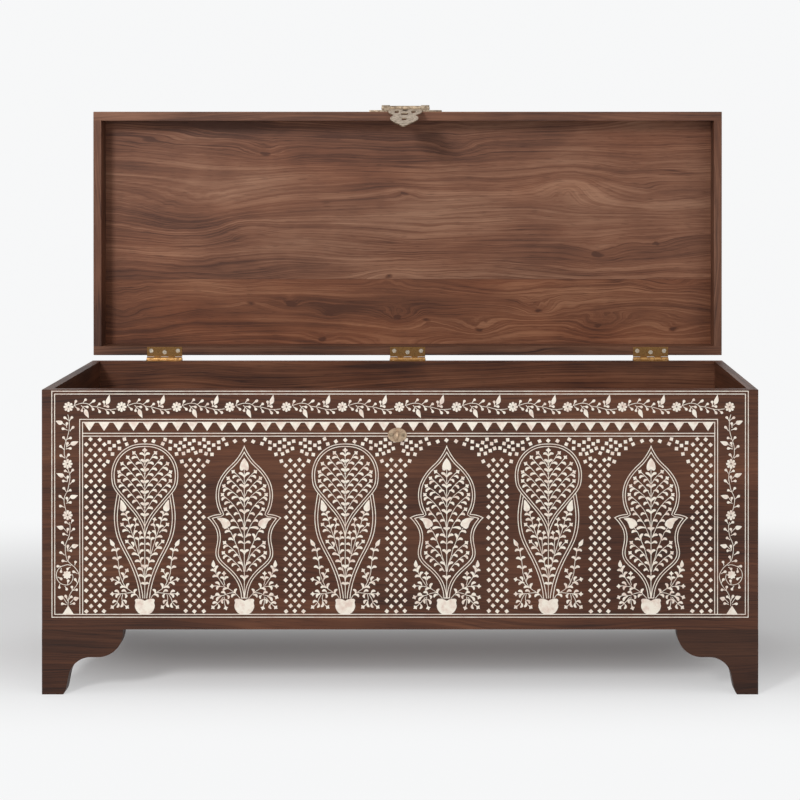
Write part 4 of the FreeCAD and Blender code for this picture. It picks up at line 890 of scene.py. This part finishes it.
LOW_SPRAY_BUDS = ((-54.5, 285.5, -53.5, 298),)
LOW_SPRAY_STEMS = (
    ((-53, 299), (-51, 304), (-49, 310), (-46, 315), (-42, 321), (-38, 327), (-33, 333), (-30, 333),
     (-22, 338), (-17, 342), (-13, 346), (-9.5, 350)),
)
LOW_SPRAY_BRANCHES = (
    ((-36.5, 308), (-36.5, 312), (-37, 320), (-35, 328)),
    ((-56.5, 329.5), (-50, 329), (-43, 329.5), (-37, 330.5)),
    ((-56.5, 348), (-51, 345.5), (-44, 345), (-38, 345), (-27, 341), (-19, 340.5)),
    ((-55, 365), (-50, 361), (-47, 358), (-43, 354), (-38, 348)),
    ((-33.5, 366), (-35, 361), (-36, 356), (-36, 347)),
)
LOW_SPRAY_LEAVES = (
    (-48.5, 296.5, -50, 305), (-57, 302, -51.5, 306), (-44.5, 306.5, -46.5, 313.5),
    (-54, 312.5, -47, 314.5), (-41, 314.5, -37.5, 319), (-31.5, 314, -35.5, 319.5),
    (-49, 323, -44, 328.5), (-48.5, 333.5, -43, 330), (-28.5, 326, -29, 334), (-37, 334.5, -29, 333.5),
    (-49.5, 342.5, -43.5, 345.5), (-48.5, 352, -41, 346.5), (-39.5, 339, -34, 343),
    (-54, 357, -46.5, 359), (-45.5, 366, -46.5, 359.5), (-29.5, 357.5, -35, 351.5),
    (-40, 356.5, -36.5, 351), (-28.5, 349, -32, 345), (-17, 335, -17, 342), (-23.5, 346, -17, 344),
)


def half_figure(branches, stems, leaves, shift=0.0, buds=()):
    """A left half with its own middle brought to zero."""
    sizes = settings().inlay
    drawn = Spray()
    drawn.branches(branches, sizes.floret_size / MM)
    drawn.grow(stems)
    drawn.leaves("comma", leaves, sizes.leaf_width / MM)
    drawn.leaves("spear", buds, sizes.bud_width / MM)
    half = Spray()
    half.add(drawn, shift)
    return half


def round_tree():
    """Foliage of a round medallion: the fan in its teardrop and the shoots beside the stem."""
    pairs = [(PAIR_HEAD, drop, PAIR_BASE, drop + PAIR_RISE) for drop in ROUND_PAIR_DROPS]
    half = half_figure(ROUND_BRANCHES, ROUND_STEMS, (*ROUND_LEAVES, *pairs), ROUND_SHIFT)
    half.slip("drop_left", DROP_PLACE)
    tree = half.doubled()
    tree.grow([((0, ROUND_STEM_TOP), (0, STEM_FOOT))])
    crown = CROWN_SCALE * settings().inlay.floret_size / MM
    tree.slip("floret", CROWN_PLACE, math.pi / 2, crown, crown)
    return tree


def pointed_tree():
    """Foliage of a pointed medallion: one tall stem with a heart at its tip and two at its shoulders."""
    half = half_figure(POINTED_BRANCHES, POINTED_STEMS, POINTED_LEAVES, POINTED_SHIFT)
    half.slip("side_heart_left", SIDE_HEART_PLACE)
    tree = half.doubled()
    tree.grow([((0, POINTED_STEM_TOP), (0, STEM_FOOT))])
    tree.slip("tip_heart", TIP_HEART_PLACE)
    return tree


def pot_spray(tall):
    """The two flowering shoots that lean out of a pot."""
    if tall:
        half = half_figure(TALL_SPRAY_BRANCHES, TALL_SPRAY_STEMS, TALL_SPRAY_LEAVES, buds=TALL_SPRAY_BUDS)
    else:
        half = half_figure(LOW_SPRAY_BRANCHES, LOW_SPRAY_STEMS, LOW_SPRAY_LEAVES, LOW_SPRAY_SHIFT,
                           LOW_SPRAY_BUDS)
    return half.doubled()


class TRUNK_OT_medallions(bpy.types.Operator):
    """Bone foliage inside the round and pointed medallions"""
    bl_idname = "trunk.medallions"
    bl_label = "Medallion foliage"

    def execute(self, context):
        for name, make, middles in (("round_foliage", round_tree, MEDALLION_X[::2]),
                                    ("pointed_foliage", pointed_tree, MEDALLION_X[1::2])):
            trees = Spray()
            for middle in middles:
                trees.add(make(), middle)
            lay_spray(name, trees)
        return {"FINISHED"}


class TRUNK_OT_pot_sprays(bpy.types.Operator):
    """Flowering shoots on both sides of the pots"""
    bl_idname = "trunk.pot_sprays"
    bl_label = "Pot sprays"

    def execute(self, context):
        sprays = Spray()
        for place, middle in enumerate(MEDALLION_X):
            sprays.add(pot_spray(place % 2 == 0), middle)
        lay_spray("pot_sprays", sprays)
        return {"FINISHED"}


# Vine. The rosettes stand across the front at shares of its half width
ROSETTE_SHARES = (-0.925, -0.777, -0.623, -0.475, -0.317, -0.161, -0.002, 0.158, 0.315, 0.468, 0.620, 0.772,
                  0.920)
ROSETTE_X = [share * HALF_WIDTH / MM for share in ROSETTE_SHARES]
ROSETTE_DROP = 29
# One stretch of the top vine, from the rosette on its left: across from it and down from its middle
VINE_PITCH = 93.0
VINE_STEM = (
    (9, -1.7), (15.5, -4.2), (23.5, -6.2), (30.5, -5.7), (35.5, -4.2), (40.5, -1.2), (47.5, -0.2),
    (53.5, 0.8), (60.5, 2.8), (67.5, 4.3), (75.5, 4.3), (84, 3.3),
)
VINE_STALKS = (((22, -2.7), (29, 4.3)), ((62, -1), (67, -4.2)))
VINE_LEAVES = (
    (13, -9.7, 10, -2.2), (17, 4.3, 11, -0.7), (30, -12.2, 25.5, -7.2), (44.5, -10.2, 36.5, -4.2),
    (33, 0.3, 25.5, -0.7), (23.5, 6.8, 25, 0.8), (43, 4.3, 38.5, -2.2), (54.5, -5.2, 49.5, -0.7),
    (54.5, 8.3, 50.5, 1.8), (62, -8.7, 62.5, -1.7), (69, -0.4, 61.5, -0.7), (69, 10.3, 63.5, 3.3),
    (79, 9.8, 72.5, 5.3),
)
VINE_SPEARS = ((35, 18.8, 29, 4.3), (71.8, -20.5, 67, -4.2))
# The left border: across from its middle and down from the rim
SIDE_STEMS = (
    ((0.5, 42), (2.5, 50), (3, 60), (2.5, 68), (1, 75), (-1, 82), (-2.5, 86), (-5, 95), (-5.5, 101),
     (-5.5, 108), (-4, 114)),
    ((0.5, 133), (3, 140), (4, 147), (3, 155), (2, 160), (0.5, 167), (-1.5, 172), (-4.5, 178), (-6, 184),
     (-5.5, 191), (-4, 198), (-2.5, 203)),
    ((2.5, 222), (4, 228), (4, 235), (3, 242), (1.5, 248), (-1, 253), (-3.5, 260), (-4, 267), (-3.5, 275),
     (-2, 282), (0, 287), (5, 292), (12, 298), (17, 305), (19.5, 312), (18.5, 319), (16, 326), (12, 332),
     (7, 338), (3.5, 344), (1.5, 351), (0.5, 358), (0.5, 363)),
    ((6, 295), (0, 293.5), (-8, 295.5), (-14, 299), (-18, 305), (-19, 312), (-17, 319), (-13, 324),
     (-8, 326.5), (-2, 327.5), (3, 326), (7, 321), (9, 315), (7.5, 309)),
    ((-3, 60), (-8, 56.5)), ((-2, 96), (5, 91.5)), ((-2, 149), (-6, 145)), ((0, 187), (4, 180.5)),
    ((-1.5, 238), (-7, 232)), ((1, 268), (6.5, 263)), ((-1.5, 358), (-7, 349.5)), ((4, 357.5), (10, 351)),
)
SIDE_LEAVES = (
    (-5, 47, 1.5, 51.5), (7.5, 46.5, 3.5, 52.5), (-1, 56.5, -1.5, 64), (-8, 65.5, 0, 68),
    (9.5, 63, 4, 69.5), (-7, 80, -3, 85.5), (5.5, 81, -1, 83.5), (0, 89.5, -2, 97), (-12, 95, -6, 100.5),
    (5, 98.5, -3, 99.5), (-11.5, 110.5, -4.5, 115), (2, 109, -2.5, 115.5), (-4.5, 136, 1, 139),
    (9, 134.5, 4.5, 140.5), (0.5, 146, -0.5, 154), (-7.5, 153, -0.5, 154.5), (10, 152.5, 3.5, 159),
    (-6.5, 165, -2.5, 171), (5, 168.5, -0.5, 171.5), (-1.5, 181.5, -0.5, 188.5), (-13, 178.5, -6.5, 184),
    (5, 189, -2.5, 190.5), (-12.5, 195, -5, 197.5), (-3.5, 222, 2.5, 226), (8.5, 219, 5.5, 224.5),
    (0.5, 233.5, -0.5, 240.5), (-7, 242, 0.5, 244.5), (10.5, 233.5, 5, 238.5), (7, 248.5, 1.5, 252),
    (-9, 256, -5, 262), (0.5, 262, -0.5, 270), (6, 270, 0, 270.5), (-12, 273, -5, 277.5),
    (-8.5, 287, -1, 288.5), (2.5, 280, 1, 286.5), (-17, 296, -10, 296.5), (-11, 305.5, -10.5, 299),
    (-0.5, 301, 4.5, 297.5), (9.5, 305, 16.5, 308.5), (13.5, 288.5, 12, 294.5), (-10.5, 317.5, -17, 314),
    (12.5, 318, 16.5, 325), (1, 320, 0, 327), (-14, 332, -13, 326), (-1.5, 335, -5, 329),
    (7, 330.5, 7.5, 337), (15.5, 335.5, 9, 336.5), (-3.5, 346, 0, 354), (6.5, 347, 1.5, 352),
    (-9.5, 359, -2, 360.5), (11, 358.5, 4, 360),
)
SIDE_SPEARS = (
    (-20, 52.5, -8, 56.5), (18.5, 87, 5, 91.5), (-18.5, 140.5, -6, 145), (17.5, 177.5, 4, 180.5),
    (-18.5, 229.5, -7, 232), (18.5, 260.5, 6.5, 263), (-17, 347, -7, 349.5), (19, 349, 10, 351),
)
SIDE_ROSETTE_DROPS = (124.5, 210.5)
SCROLL_EYE = (-1, 310.5)
LEFT_BORDER_SHARE, RIGHT_BORDER_SHARE = -0.9278, 0.9238


def drawn_vine(stems, leaves, spears):
    sizes = settings().inlay
    spray = Spray()
    spray.grow(stems)
    spray.leaves("club", leaves, sizes.club_width / MM)
    spray.leaves("spear", spears, sizes.spear_width / MM)
    return spray


def side_vine():
    """The left border: rosettes, a coiled shoot and a palmette over its triangle."""
    sizes = settings().inlay
    spray = drawn_vine(SIDE_STEMS, SIDE_LEAVES, SIDE_SPEARS)
    hub, length, width = (size / MM for size in (sizes.rosette_hub, sizes.petal_length, sizes.petal_width))
    for drop in SIDE_ROSETTE_DROPS:
        for petal in range(ROSETTE_PETALS):
            turn = 2 * math.pi * petal / ROSETTE_PETALS
            spray.slip("petal", (hub * math.cos(turn), drop - hub * math.sin(turn)), turn, length, width)
    spray.slip("eye", SCROLL_EYE, 0, sizes.eye_size / MM, sizes.eye_size / MM)
    return spray


class TRUNK_OT_vine(bpy.types.Operator):
    """The flowering vine along the top and down both sides of the front"""
    bl_idname = "trunk.vine"
    bl_label = "Vine border"

    def execute(self, context):
        vine = Spray()
        stretch = drawn_vine((VINE_STEM, *VINE_STALKS), VINE_LEAVES, VINE_SPEARS)
        for left, right in zip(ROSETTE_X, ROSETTE_X[1:]):
            vine.add(stretch, left, (right - left) / VINE_PITCH, ROSETTE_DROP)
        border = side_vine()
        vine.add(border, LEFT_BORDER_SHARE * HALF_WIDTH / MM)
        vine.add(border.turned_over(), RIGHT_BORDER_SHARE * HALF_WIDTH / MM)
        lay_spray("vine", vine)
        return {"FINISHED"}


# Stage

SENSOR_WIDTH, CAMERA_SHIFT, FARTHEST = 36.0, (-0.0768, -0.3026), 50
FLOOR_REACH = 14.0
# The floor turns to plain backdrop with the distance from its middle, less so along the trunk. In front of
# the trunk it also turns to backdrop between two places along Y, from one share to the other: painted light
# that lifts the trunk's shadow on the floor there
FADE_SPREAD, FADE_START, FADE_END = (0.62, 1.0, 1.0), 0.55, 1.5
NEAR_SHADOW_LIFT = (FACE_Y + 0.34, FACE_Y - 0.30, 0.10, 0.97)
ROOM_STRENGTH = 0.5
# Lamps: place, the point that each aims at, width and power
LAMPS = {
    "Key": ((-1.7, -3.4, 2.35), (0, 0, 0.5), 0.8, 70),
    "Fill": ((2.2, -3.2, 1.3), (0, 0, 0.5), 2.4, 9),
    "Top": ((0, -0.6, 3.4), (0, 0, 0.3), 2.6, 10),
}


def seen_share(tree):
    """1 for what the camera sees, straight or in metal and glass, and 0 for light on the object."""
    paths = node(tree, "ShaderNodeLightPath")
    ways = ("Camera", "Glossy", "Transmission")
    camera, glossy, clear = (Wire(paths.outputs[f"Is {way} Ray"]) for way in ways)
    return camera.maths("MAXIMUM", glossy).maths("MAXIMUM", clear)


def close_shader(tree, end, share, lit, shown):
    """End a tree in two shaders, the second where the share is 1."""
    node(tree, end, {"Surface": wire(tree, "ShaderNodeMixShader", {0: share, 1: lit, 2: shown})})


class TRUNK_OT_stage(bpy.types.Operator):
    """Pale floor and backdrop, soft lights and the camera"""
    bl_idname = "trunk.stage"
    bl_label = "Stage"

    def execute(self, context):
        sizes = settings().stage
        context.scene.view_settings.view_transform = "Standard"
        self.camera(context.scene, sizes)
        self.floor(context.scene, sizes)
        self.world(context.scene, sizes)
        self.lamps(context.scene)
        return {"FINISHED"}

    def camera(self, scene, sizes):
        data = bpy.data.cameras.new("View")
        data.lens, data.sensor_width = sizes.lens, SENSOR_WIDTH
        data.shift_x, data.shift_y = CAMERA_SHIFT
        data.clip_end = FARTHEST
        camera = bpy.data.objects.new("View", data)
        camera.location = (sizes.side, FACE_Y - sizes.distance, sizes.height)
        camera.rotation_euler = (math.radians(90) - sizes.pitch, 0, 0)
        scene.collection.objects.link(camera)
        scene.camera = camera

    def floor(self, scene, sizes):
        mesh = bpy.data.meshes.new("Floor")
        corners = [(x * FLOOR_REACH, y * FLOOR_REACH, 0) for x, y in ((-1, -1), (1, -1), (1, 1), (-1, 1))]
        mesh.from_pydata(corners, [], [(0, 1, 2, 3)])
        plane = bpy.data.objects.new("Floor", mesh)
        scene.collection.objects.link(plane)
        finish = bpy.data.materials.new("Floor")
        finish.use_nodes = True
        tree = finish.node_tree
        tree.nodes.clear()
        place = wire(tree, "ShaderNodeTexCoord", output="Object")
        away = place.stretched(FADE_SPREAD).vector_maths("LENGTH", output="Value")
        far = away.remap(FADE_START, FADE_END, kind="SMOOTHSTEP")
        # Painted light: towards the front of the trunk the floor is mostly backdrop, which lifts the
        # trunk's shadow there
        far = far.maths("MAXIMUM", place.parts()[1].remap(*NEAR_SHADOW_LIFT, kind="SMOOTHSTEP"))
        matt = wire(tree, "ShaderNodeBsdfDiffuse", {"Color": (*sizes.floor, 1)})
        white = wire(tree, "ShaderNodeEmission", {"Color": (*sizes.floor, 1), "Strength": 1.0})
        close_shader(tree, "ShaderNodeOutputMaterial", far * seen_share(tree), matt, white)
        mesh.materials.append(finish)

    def world(self, scene, sizes):
        scene.world = bpy.data.worlds.new("Soft room")
        scene.world.use_nodes = True
        tree = scene.world.node_tree
        tree.nodes.clear()
        room = wire(tree, "ShaderNodeBackground", {"Color": WHITE, "Strength": ROOM_STRENGTH})
        white = wire(tree, "ShaderNodeBackground", {"Color": (*sizes.floor, 1), "Strength": 1.0})
        close_shader(tree, "ShaderNodeOutputWorld", seen_share(tree), room, white)

    def lamps(self, scene):
        for name, (place, aim, width, power) in LAMPS.items():
            data = bpy.data.lights.new(name, "AREA")
            data.size, data.energy = width, power
            lamp = bpy.data.objects.new(name, data)
            lamp.location = place
            lamp.rotation_euler = (Vector(aim) - Vector(place)).to_track_quat("-Z", "Y").to_euler()
            scene.collection.objects.link(lamp)


OPERATORS = (TRUNK_OT_timber, TRUNK_OT_brass, TRUNK_OT_bone, TRUNK_OT_medallions, TRUNK_OT_pot_sprays,
             TRUNK_OT_vine, TRUNK_OT_stage)


class TRUNK_PT_panel(bpy.types.Panel):
    bl_idname = "TRUNK_PT_panel"
    bl_label = "Bone Inlay Trunk"
    bl_space_type = "VIEW_3D"
    bl_region_type = "UI"
    bl_category = "Trunk"

    def draw(self, context):
        for operator in OPERATORS:
            self.layout.operator(operator.bl_idname)
        for group in ("timber", "inlay", "metal", "stage"):
            box = self.layout.box()
            box.label(text=group.title())
            values = getattr(context.scene.trunk, group)
            for name in values.__annotations__:
                box.prop(values, name)


CLASSES = (TrunkTimber, TrunkInlay, TrunkMetal, TrunkStage, TrunkSettings, *OPERATORS, TRUNK_PT_panel)


def register():
    for kind in CLASSES:
        bpy.utils.register_class(kind)
    bpy.types.Scene.trunk = PointerProperty(type=TrunkSettings)


def unregister():
    del bpy.types.Scene.trunk
    for kind in reversed(CLASSES):
        bpy.utils.unregister_class(kind)


def main():
    register()
    for operator in OPERATORS:
        family, action = operator.bl_idname.split(".")
        getattr(getattr(bpy.ops, family), action)()


if __name__ == "__main__":
    main()
